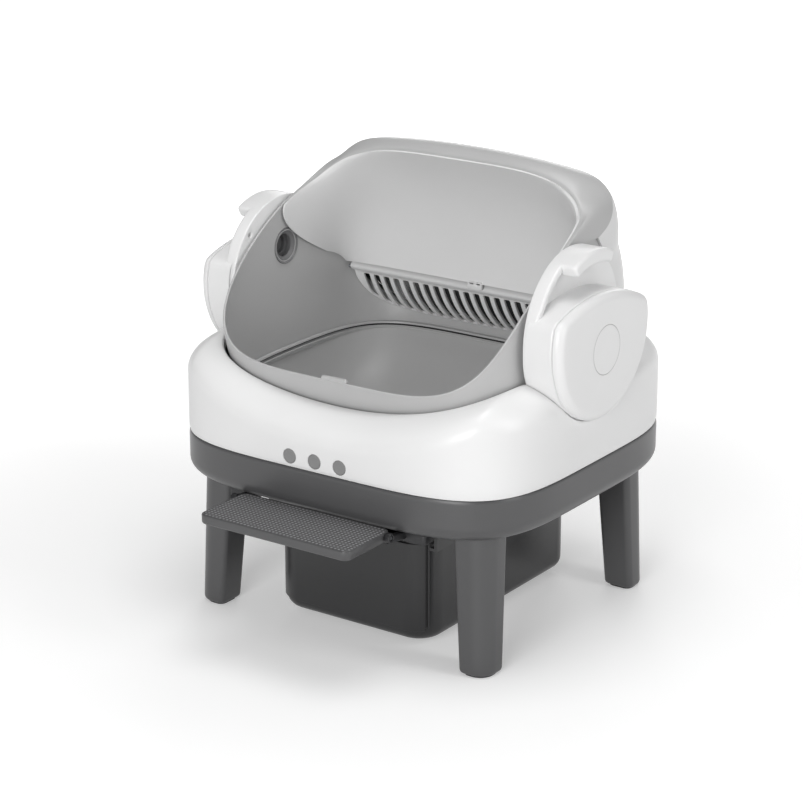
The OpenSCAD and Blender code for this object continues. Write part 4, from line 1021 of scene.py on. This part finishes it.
def panel_place(u, v):
    """A point of the scoop inside the hood, from the hood's edge down to the grille."""
    start = inner_edge(PANEL_FROM + (pi - 2 * PANEL_FROM) * u, PANEL_STEP)
    end = Vector((PANEL_HALF * start.x / abs(PANEL_END), *PANEL_LOW))
    side = abs(start.x / PANEL_END) ** 4
    bow = PANEL_BOW * (1 - side) * 4 * v * (1 - v) - PANEL_SIDE_BOW * side * sin(pi * sqrt(v))
    return bowed(start, end, v, bow)


def make_hood_panel():
    bm = surface(160, 80, panel_place)
    trim(bm, lambda p: -in_bowl(p, PANEL_GAP))
    inward(bm, Vector((0, 300, 300)))
    thicken(bm, PANEL_WALL)
    finish_piece(bm, "hood_inner_panel", "drum", ["hood_panel"], "hood_grey")


# Sections of the liner's rim and of the bead below it: distance from the wall and height from LINER_Z
LINER_RIM = ((0.2, -0.8), (4.6, -0.8), (4.6, -2.2), (5.0, -2.6), (5.6, -2.6), (6.0, -2.2), (6.0, 0.2),
             (5.6, 0.9), (4.8, 1.2), (1.0, 1.2), (0.4, 0.9), (0.2, 0.2))
LINER_BEAD = ((4.6, -5.2), (6.8, -5.2), (7.2, -5.8), (7.0, -7.6), (4.6, -12.0))


def make_liner():
    inset = WALL + LINER_GAP
    bm = surface(200, 160, roll_place(BOWL_R - inset, DRUM_HALF - inset, BOWL_POWER, pi * 0.98, pi * 2.02))
    trim(bm, lambda p: p.z - LINER_Z + 1.2)
    outward(bm, AXIS)
    beads = [
        sweep(even(points, 3.0, closed), section, closed, UP)
        for points, closed in open_edges(bm, lambda p: p.z > LINER_Z - 5, 0.0)
        for section in (LINER_RIM, LINER_BEAD)
    ]
    thicken(bm, LINER_WALL)
    join(bm, *beads)
    finish_piece(bm, "litter_pan", "drum", ["litter_liner"], "liner_grey")


make_bowl()
make_hood_shell()
make_hood_band()
make_hood_panel()
make_liner()


# Grille

# Turns a share of in_bowl near the wall into millimetres
BOWL_SHARE = 40.0


def grille_point(x, along):
    """A point on the grille's curve, counted from its top edge, with its rolled head."""
    turn = GRILLE_START + max(along, 0.0) / GRILLE_ARC_R
    y = GRILLE_MIDDLE.x + GRILLE_ARC_R * cos(turn)
    z = GRILLE_MIDDLE.y + GRILLE_ARC_R * sin(turn)
    rise = min(along, 0.0)
    z += cos(turn) * rise
    roll = ROLL_DEPTH * cos(pi / 2 * min(1.0, abs(z - ROLL_Z) / ROLL_HALF))
    return Vector((x, y - sin(turn) * rise - roll, z))


def grille_along(p):
    """How far down the grille's curve a point lies."""
    if p.z > GRILLE_TOP[1]:
        return (p.z - GRILLE_TOP[1]) / cos(GRILLE_START)
    turn = asin(max(-1.0, min(1.0, (p.z - GRILLE_MIDDLE.y) / GRILLE_ARC_R)))
    return (-pi - turn - GRILLE_START) * GRILLE_ARC_R


def in_slot(p):
    """Positive inside one of the grille's slots."""
    index = round(p.x / SLOT_PITCH + (SLOTS - 1) / 2)
    middle = (max(0, min(SLOTS - 1, index)) - (SLOTS - 1) / 2) * SLOT_PITCH
    across = abs(p.x - middle) - SLOT_W / 2 + SLOT_CORNER
    down = max(FRAME_TOP - grille_along(p), -BOWL_SHARE * in_bowl(p, SLOT_GAP)) + SLOT_CORNER
    return SLOT_CORNER - hypot(max(across, 0.0), max(down, 0.0)) - min(max(across, down), 0.0)


def past_frame(p):
    """Positive outside the grille's frame."""
    side = abs(p.x) - (GRILLE_HALF - FRAME_SIDE - FRAME_CORNER)
    top = -GRILLE_HEAD - grille_along(p) + FRAME_CORNER
    corner = hypot(max(side, 0.0), max(top, 0.0)) - FRAME_CORNER
    return max(corner, -BOWL_SHARE * in_bowl(p, FRAME_GAP))


def make_rib(x):
    """A rib on the back of a bar, as long as the bowl leaves room for."""
    length = GRILLE_LEN
    while in_bowl(grille_point(abs(x) + 3, length), RIB_GAP) < 0:
        length -= 1.0
    half = (SLOT_PITCH - SLOT_W) / 2 - 0.8
    steps = 12
    rings = []
    for k in range(steps + 1):
        along = FRAME_TOP - 2 + (length - FRAME_TOP) * k / steps
        front = grille_point(x, along)
        down = grille_point(x, along + 0.5) - front
        back = front + down.cross(Vector((1, 0, 0))).normalized() * -RIB_DEPTH
        rings.append([p + Vector((dx, 0, 0)) for p, dx in (
            (front, -half), (front, half), (back, half - RIB_TAPER), (back, RIB_TAPER - half))])
    return rings_wall(rings)


def make_knuckle(x0, x1):
    """One of the hinge barrels along the grille's head."""
    profile = [(x0, PIVOT_R - PIVOT_EDGE), (x0 + PIVOT_EDGE, PIVOT_R), (x1 - PIVOT_EDGE, PIVOT_R),
               (x1, PIVOT_R - PIVOT_EDGE)]
    return turned(profile, lambda x, a, b: Vector((x, PIVOT[0] + a, PIVOT[1] + b)), 24)


def make_grille():
    def place(u, v):
        return grille_point(GRILLE_HALF * (2 * u - 1), -GRILLE_HEAD + (GRILLE_LEN + GRILLE_HEAD) * v)

    bm = surface(260, 60, place)
    trim(bm, past_frame)
    trim(bm, in_slot)
    outward(bm, Vector((0, 400, 500)))
    thicken(bm, GRILLE_WALL)
    ribs = [make_rib((i - SLOTS / 2 + 1) * SLOT_PITCH) for i in range(SLOTS - 1)]
    join(bm, *ribs, *[make_knuckle(*ends) for ends in KNUCKLES])
    finish_piece(bm, "sifting_grille", "sifter", ["sifter_grille"], "hood_grey")


def make_catch():
    """The clip in the middle of the scoop's lower edge that holds the grille."""
    def place(a, b, c):
        return Vector((a, PANEL_LOW[0] - 4.6 + c, PANEL_LOW[1] + b - 2.0))

    holes = [[(a + x, b + 2.6) for a, b in rounded_rect(3.2, 1.1, 0.9, 3)] for x in (-5.2, 5.2)]
    bm = plate(rounded_rect(11.0, 5.0, 2.4), holes, place, 4.4, 0.7)
    finish_piece(bm, "grille_clip", "drum", ["sifter_catch"], "hood_grey")


make_grille()
make_catch()


# Pods

# Degrees where the raised edge round the plate starts and how far it runs
EDGE_FROM = 60.0
EDGE_SWEEP = 132.0
HANDLE_FROM = 66.0
HANDLE_SWEEP = 52.0


def pod_block(turn, inset):
    """A point on a pod's casing: two arcs with rounded corners between them."""
    c, s = cos(turn), sin(turn)
    dz = LOW_CENTRE[1] - POD_MIDDLE[1]
    low = s * dz + sqrt(max((LOW_R - inset) ** 2 - (c * dz) ** 2, 0.0))
    dy, dz = TOP_CENTRE[0] - POD_MIDDLE[0], TOP_CENTRE[1] - POD_MIDDLE[1]
    b = c * dy + s * dz
    top = b + sqrt(max(b * b - dy * dy - dz * dz + (TOP_R - inset) ** 2, 0.0))
    k = (low**-CORNER_SHARP + top**-CORNER_SHARP) ** (-1 / CORNER_SHARP)
    return POD_MIDDLE[0] + k * c, POD_MIDDLE[1] + k * s


def pod_turns():
    return [2 * pi * i / POD_SIDES for i in range(POD_SIDES)]


def pod_rings(profile, side):
    """Rings of the casing's outline at each x and inset of a profile."""
    return [[Vector((side * x, *pod_block(turn, inset))) for turn in pod_turns()] for x, inset in profile]


def plate_outline():
    """Outline of a pod's round plate: its lower half follows the casing."""
    points = []
    for turn in pod_turns():
        mix = ease(-sin(turn) * 3)
        r = PLATE_R + (LOW_R - PLATE_R) * mix
        middle = PLATE_CENTRE[1] + (LOW_CENTRE[1] - PLATE_CENTRE[1]) * mix
        points.append((PLATE_CENTRE[0] + r * cos(turn), middle + r * sin(turn)))
    return points


def round_plate(x, rho, turn):
    """A point at a distance and in a direction from the plate's centre."""
    return Vector((x, PLATE_CENTRE[0] + rho * cos(turn), PLATE_CENTRE[1] + rho * sin(turn)))


def arc_bar(stations, side):
    """A bar round the plate: stations hold angle, inner radius, near and far x, corner radius and inset."""
    rings = []
    for turn, inner, near, far, r, inset in stations:
        half_x, half_r = (far - near) / 2 - inset, (PLATE_R - inner) / 2 - inset
        section = rounded_rect(half_x, half_r, min(r, half_x * 0.98, half_r * 0.98))
        rings.append([round_plate(side * ((near + far) / 2 + a), (inner + PLATE_R) / 2 + b, turn)
                      for a, b in section])
    return rings_wall(rings)


def handle_stations():
    """The grip: a thick bar with round ends."""
    stations = []
    for i in range(61):
        t = (1 - cos(pi * i / 60)) / 2
        depth = 16.0 + 2.0 * sin(pi * t)
        end = min(t, 1 - t) * radians(HANDLE_SWEEP) * PLATE_R
        inset = HANDLE_ROUND * (1 - sqrt(max(0.0, 1 - (1 - min(end / HANDLE_ROUND, 1.0)) ** 2)))
        stations.append((radians(HANDLE_FROM + HANDLE_SWEEP * t), PLATE_R - depth, POD_X + 2.0, HANDLE_X, 4.6,
                         inset))
    return stations


def edge_stations():
    """The raised edge, which sinks into the plate at its lower end."""
    stations = []
    for i in range(97):
        run = EDGE_SWEEP * i / 96
        rise = 1.2 + 8.8 * ease(min((EDGE_SWEEP - run) / 46, run / 10 + 0.2))
        stations.append((radians(EDGE_FROM + run), PLATE_R - 10.0, POD_X + 1.0, PLATE_X + rise, 3.0, 0.0))
    return stations


def edge_slope(side):
    """The slope from the plate's raised edge down to its face."""
    def place(u, v):
        rise = 7.0 * ease(min((1 - u) * 124 / 36, 1.0))
        rho = PLATE_R - 9.0 - (4.0 + 7.0 * u) * v
        return round_plate(side * (PLATE_X + rise * (1 - v) ** 1.4 + 0.02), rho, radians(62 + 124 * u))

    bm = surface(80, 8, place)
    outward(bm, Vector((side * (PLATE_X - 200), *PLATE_CENTRE)))
    return bm


def make_pod(side):
    name = "right" if side > 0 else "left"
    holes = [ring_points(AXLE_HOLE_R, (0.0, AXIS_Z))]
    if side < 0:
        holes.append(ring_points(PORT_R + 1.0, PORT, 48))
        holes.append(ring_points(SENSOR_HOLE_R, SENSOR, 24))
    casing = plate(plate_outline(), holes, lambda a, b, c: Vector((side * (POD_X + c), a, b)),
                   PLATE_X - POD_X, 1.6, 4)
    block = [(PLATE_X - 2.0, 0.0), (PLATE_X, 0.0), (CASE_X - 3.4, 0.0), (CASE_X - 3.0, 0.0),
             (CASE_X - 1.6, 0.25), (CASE_X - 0.7, 0.9), (CASE_X - 0.2, 2.0), (CASE_X - 0.2, 3.0),
             (CASE_X - 3.0, 3.1), (PLATE_X + 1.0, 3.1)]
    join(casing, rings_wall(pod_rings(block, side), caps=False), arc_bar(edge_stations(), side),
         arc_bar(handle_stations(), side), edge_slope(side))
    finish_piece(casing, "pod_casing_" + name, "drum_carrier", ["pod_case_" + name], "white_abs", 32)
    cover = [(CASE_X + 0.25, 4.0), (CASE_X + 0.25, 1.6), (CASE_X + 0.5, 0.9), (CASE_X + 1.0, 0.5)]
    cover += [(CASE_X + 2.2 + 10.1 * rise, 0.6 + 11.0 * (1 - run)) for rise, run in quarter(10)]
    cover += [(COVER_X - 0.05, 30.0), (COVER_X, 50.0)]
    shell = rings_wall(pod_rings(cover, side))
    finish_piece(shell, "pod_cover_shell_" + name, "drum_carrier", ["pod_cover_" + name], "white_abs", 32,
                 COVER_ABS if side > 0 else None)


make_pod(-1)
make_pod(1)


# Drawer


def drawer_ring(inset, z):
    outline = rounded_rect(DRAWER_HALF_W - inset, DRAWER_HALF_D - inset, max(DRAWER_CORNER - inset, 2.0), 14)
    return [Vector((x, DRAWER_MIDDLE + y, z)) for x, y in outline]


def flange_ring(grow, z):
    """Outline of the runners along the drawer's sides, which don't stand out at its ends."""
    outline = rounded_rect(DRAWER_HALF_W + grow, DRAWER_HALF_D + min(grow, 0.0), DRAWER_CORNER, 14)
    return [Vector((x, DRAWER_MIDDLE + y, z)) for x, y in outline]


def make_drawer():
    lip = DRAWER_TOP - DRAWER_LIP
    inner = DRAWER_INNER
    rows = [(80.0, DRAWER_LOW), (DRAWER_EDGE + 2, DRAWER_LOW)]
    rows += [(DRAWER_EDGE * (1 - rise), DRAWER_LOW + DRAWER_EDGE * (1 - run)) for rise, run in quarter(12)]
    rows += [(0.0, lip - 0.4), (0.0, lip), (inner, DRAWER_TOP), (inner, DRAWER_TOP - 2),
             (inner, DRAWER_LOW + 18), (6.0, DRAWER_LOW + 7), (16.0, DRAWER_LOW + inner),
             (80.0, DRAWER_LOW + inner)]
    bm = rings_wall([drawer_ring(*row) for row in rows])
    flange = [(0.2, lip), (7.4, lip), (8.0, lip + 0.6), (8.0, DRAWER_TOP - 0.6), (7.4, DRAWER_TOP),
              (-inner, DRAWER_TOP)]
    join(bm, rings_wall([flange_ring(*row) for row in flange], caps=False))
    finish_piece(bm, "drawer_tub", "waste_drawer", ["drawer_bin"], "drawer_plastic")


def corner_point(side, turn):
    """A point on the front panel's outer face, round one of the drawer's front corners."""
    reach = DRAWER_CORNER + DRAWER_PANEL
    return Vector((side * (DRAWER_HALF_W - DRAWER_CORNER) + reach * cos(turn),
                   DRAWER_FRONT + DRAWER_CORNER + reach * sin(turn), 0.0))


def beside(path, distance):
    """A level path moved to its right."""
    points = []
    for i, p in enumerate(path):
        along = path[min(i + 1, len(path) - 1)] - path[max(i - 1, 0)]
        points.append(p + along.cross(UP).normalized() * distance)
    return points


def make_drawer_front():
    low, high = DRAWER_LOW + DRAWER_EDGE, DRAWER_TOP - DRAWER_LIP
    path = [corner_point(side, start + pi / 4 * i / 12)
            for side, start in ((-1, -0.75 * pi), (1, -0.5 * pi)) for i in range(13)]
    rings = []
    for z, inset in ((low, 1.1), (low + 0.4, 0.4), (low + 1.4, 0.0), (high - 0.6, 0.0), (high, 0.5)):
        loop = beside(path, DRAWER_PANEL - inset) + beside(path, -1.45)[::-1]
        rings.append([p + UP * z for p in loop])
    bm = rings_wall(rings)
    beads = []
    for side in (-1, 1):
        for step, r in ((0.0, 1.5), (0.13, 1.3)):
            foot = corner_point(side, -pi / 2 + side * (pi / 4 + step))
            profile = [(low + 4, r - 0.9), (low + 5, r), (high - 1, r), (high, r - 0.9)]
            beads.append(turned(profile, lambda z, a, b: foot + Vector((a, b, z)), 20))
    pull = plate(rounded_rect(65.0, 5.5, 4.0), [],
                 lambda a, b, c: Vector((a, DRAWER_FRONT - 6.5 + b, high - 4.0 + c)), 4.0, 1.2)
    join(bm, *beads, pull)
    finish_piece(bm, "drawer_panel", "waste_drawer", ["drawer_front"], "drawer_plastic")


make_drawer()
make_drawer_front()


# Step


def step_ring(inset, z):
    middle = (STEP_FRONT + STEP_BACK) / 2
    a, b = STEP_HALF_W - inset, (STEP_BACK - STEP_FRONT) / 2 - inset
    return [Vector((x, middle + y, z)) for x, y in rounded_rect(a, b, max(STEP_CORNER - inset / 2, 1.0), 8)]


def make_step():
    top, low, border = STEP_TOP, STEP_TOP - STEP_T, TREAD_BORDER
    board = [(40.0, low), (3.0, low), (2.2, low), (0.9, low + 0.6), (0.0, low + 2.2), (0.0, top - 1.6),
             (0.25, top - 0.7), (0.9, top - 0.15), (1.6, top), (border - 0.4, top), (border, top - 0.5),
             (border, top - 1.2), (40.0, top - 1.2)]
    grip = [(border + 0.1, top - 1.15), (border + 0.1, top - 0.5), (border + 0.3, top - 0.15),
            (border + 0.8, top), (border + 1.2, top), (40.0, top)]
    for rows, name, node, slot in ((board, "step_board", "step_plate", "charcoal_abs"),
                                   (grip, "step_grip", "step_tread", "tread_rubber")):
        finish_piece(rings_wall([step_ring(*row) for row in rows]), name, "step", [node], slot)


def make_brackets():
    """The hinge brackets under the chassis and the pins that the step turns on."""
    edge_y = -HALF_D + CHASSIS_EDGE
    back_y, low_z = edge_y + 22.0, CHASSIS_Z - 12.0
    cheek = ring_points(BRACKET_R, STEP_PIVOT, 14, radians(80), radians(270))
    cheek += [(back_y, low_z), (back_y, CHASSIS_Z), (edge_y, CHASSIS_Z),
              (STEP_PIVOT[0] + 5.0, STEP_PIVOT[1] + 2.0)]
    hole = ring_points(PIN_R, STEP_PIVOT, 32)
    brackets = []
    pins = []
    for side in (-1, 1):
        brackets.append(plate(cheek, [hole], lambda a, b, c: Vector((side * (BRACKET_X + c), a, b)),
                              BRACKET_W, 1.0))
        foot = Vector((side * (BRACKET_X + BRACKET_FOOT / 2), edge_y + 11.0, low_z))
        brackets.append(plate(rounded_rect(BRACKET_FOOT / 2, 11.0, 4.0), [],
                              lambda a, b, c: foot + Vector((side * a, b, c)), CHASSIS_Z - low_z, 1.0))
        profile = [(96.0, 2.4), (96.6, 2.9), (118.6, 2.9), (119.2, 2.4)]
        pins.append(turned([(side * x, r) for x, r in profile],
                           lambda x, a, b: Vector((x, STEP_PIVOT[0] + a, STEP_PIVOT[1] + b)), 32))
    finish_piece(join(*brackets), "hinge_brackets", "root", ["step_brackets"], "black_plastic", 30)
    finish_piece(join(*pins), "hinge_pins", "step", ["step_pins"], "zinc_steel", 30)


make_step()
make_brackets()


# Small pieces


def make_tab():
    """The grip at the front of the bowl's rim."""
    bm = plate(rounded_rect(TAB_HALF, (TAB_TOP - TAB_LOW) / 2, 3.4, 8), [],
               lambda a, b, c: Vector((a, TAB_FRONT + c, (TAB_TOP + TAB_LOW) / 2 + b)), 5.4, 1.6, 4)
    finish_piece(bm, "rim_grip", "drum", ["rim_tab"], "drum_grey", 40)


def make_button(name, x):
    """A cap with a rounded edge and a slightly hollow face. Its profile holds depth and inset."""
    profile = [(9.4, 0.4), (2.0, 0.1), (1.0, 0.0), (0.5, 0.15), (0.15, 0.5), (0.0, 1.0), (0.0, 1.6),
               (0.25, 3.4), (0.4, 6.0), (0.45, BUTTON_R - 0.8)]
    bm = turned([(depth, BUTTON_R - inset) for depth, inset in profile],
                lambda y, a, b: Vector((x + a, BUTTON_Y + y, BUTTON_Z + b)))
    finish_piece(bm, "button_cap_" + name, name + "_button", ["button_" + name], "button_plastic", 30)


def make_port():
    """A moulded ring in the drum's left wall with a wide chamfered mouth."""
    wall = WALL - DRUM_HALF
    profile = [(wall + 0.2, 4.2), (wall + 1.2, 4.1), (wall + 1.5, 3.6), (wall + 1.1, 3.0),
               (-DRUM_HALF - 0.2, -4.6), (-DRUM_HALF - 0.6, -5.0), (-DRUM_HALF - 1.0, -4.4),
               (-DRUM_HALF - 1.0, -0.4), (wall - 0.4, -0.4)]
    rings = [[Vector((x, *p)) for p in ring_points(PORT_R + grow, PORT)] for x, grow in profile]
    bm = rings_wall(rings + rings[:1], caps=False)
    finish_piece(bm, "port_collar", "drum", ["port_ring"], "port_plastic", 30)


def make_sensor():
    """The presence sensor: a dark lens in a small round housing behind its hole."""
    profile = [(7.6, 0.4), (7.2, 2.0), (7.6, 3.4), (8.6, 4.2), (8.8, 6.4), (9.4, 7.0), (13.6, 7.0),
               (14.6, 6.4), (15.0, 5.2), (15.2, 0.4)]
    bm = turned([(-POD_X - depth, r) for depth, r in profile],
                lambda x, a, b: Vector((x, SENSOR[0] + a, SENSOR[1] + b)), 48)
    finish_piece(bm, "sensor_head", "drum_carrier", ["presence_sensor"], "black_plastic", 30)


make_tab()
make_button("left", -BUTTON_PITCH)
make_button("centre", 0.0)
make_button("right", BUTTON_PITCH)
make_port()
make_sensor()


# Floor, light and camera, in metres

FLOOR_R = 12.0
FLOOR_GREY = "#e6e6e6"
# The floor's own light fades in with the distance from the part, so that its far end is white
GLOW_FROM = 0.35
GLOW_TO = 1.8
GLOW_NEAR = 0.3
GLOW_FAR = 0.9
WORLD_LEVEL = 0.24
LAMP_TARGET = Vector((0.0, 0.0, 0.35))
CAMERA_PLACE = (1.78366, -2.60494, 1.32722)
CAMERA_AZIMUTH = radians(34.93)
CAMERA_ELEVATION = radians(18.61)
CAMERA_LENS = 116.566


def make_floor():
    bm = bmesh.new()
    bmesh.ops.create_grid(bm, x_segments=1, y_segments=1, size=FLOOR_R)
    mesh = bpy.data.meshes.new("floor")
    bm.to_mesh(mesh)
    bm.free()
    floor = bpy.data.objects.new("floor", mesh)
    bpy.context.scene.collection.objects.link(floor)
    material = bpy.data.materials.new("plain_floor")
    tree = empty_tree(material)
    path = add(tree, "LightPath")
    seen = add(tree, "Math", {"operation": "MAXIMUM"},
               {0: path.outputs["Is Camera Ray"], 1: path.outputs["Is Glossy Ray"]})
    place = add(tree, "TexCoord").outputs["Object"]
    reach = add(tree, "VectorMath", {"operation": "LENGTH"}, {0: place})
    rise = add(tree, "MapRange", {"From Min": GLOW_FROM, "From Max": GLOW_TO, "To Min": GLOW_NEAR,
               "To Max": GLOW_FAR, "interpolation_type": "SMOOTHSTEP"}, {"Value": reach.outputs["Value"]})
    glow = add(tree, "Math", {"operation": "MULTIPLY"},
               {0: seen.outputs[0], 1: rise.outputs["Result"]})
    lit = add(tree, "BsdfDiffuse", {"Color": linear(FLOOR_GREY)})
    bright = add(tree, "Emission", {"Color": WHITE}, {"Strength": glow.outputs[0]})
    both = add(tree, "AddShader", None, {0: lit.outputs[0], 1: bright.outputs[0]})
    add(tree, "OutputMaterial", None, {"Surface": both.outputs[0]})
    mesh.materials.append(material)


def make_world():
    world = bpy.data.worlds.new("studio")
    bpy.context.scene.world = world
    tree = empty_tree(world)
    path = add(tree, "LightPath")
    seen = add(tree, "Math", {"operation": "MAXIMUM"},
               {0: path.outputs["Is Camera Ray"], 1: path.outputs["Is Transmission Ray"]})
    soft = add(tree, "Background", {"Color": WHITE, "Strength": WORLD_LEVEL})
    white = add(tree, "Background", {"Color": WHITE, "Strength": 1.0})
    pick = add(tree, "MixShader", None,
               {0: seen.outputs[0], 1: soft.outputs[0], 2: white.outputs[0]})
    add(tree, "OutputWorld", None, {"Surface": pick.outputs[0]})


def make_lamp(name, place, size, power):
    data = bpy.data.lights.new(name, "AREA")
    data.shape = "RECTANGLE"
    data.size, data.size_y = size
    data.energy = power
    lamp = bpy.data.objects.new(name, data)
    bpy.context.scene.collection.objects.link(lamp)
    lamp.location = place
    lamp.rotation_euler = (LAMP_TARGET - Vector(place)).to_track_quat("-Z", "Y").to_euler()


def make_camera():
    data = bpy.data.cameras.new("camera")
    data.sensor_width = 36.0
    data.lens = CAMERA_LENS
    data.clip_end = 100.0
    camera = bpy.data.objects.new("camera", data)
    bpy.context.scene.collection.objects.link(camera)
    camera.location = CAMERA_PLACE
    level = cos(CAMERA_ELEVATION)
    back = Vector((sin(CAMERA_AZIMUTH) * level, -cos(CAMERA_AZIMUTH) * level, sin(CAMERA_ELEVATION)))
    camera.rotation_mode = "QUATERNION"
    camera.rotation_quaternion = (-back).to_track_quat("-Z", "Y")
    bpy.context.scene.camera = camera


make_floor()
make_world()
make_lamp("key", (0.8, -3.2, 1.05), (1.5, 1.5), 62.0)
make_lamp("fill", (2.8, 0.2, 1.3), (0.8, 2.2), 24.0)
make_lamp("back", (-1.4, 2.8, 1.6), (1.6, 1.6), 24.0)
make_lamp("top", (0.2, -0.2, 2.6), (1.2, 1.2), 22.0)
make_camera()
bpy.context.scene.view_settings.view_transform = "Standard"

bpy.context.view_layer.update()
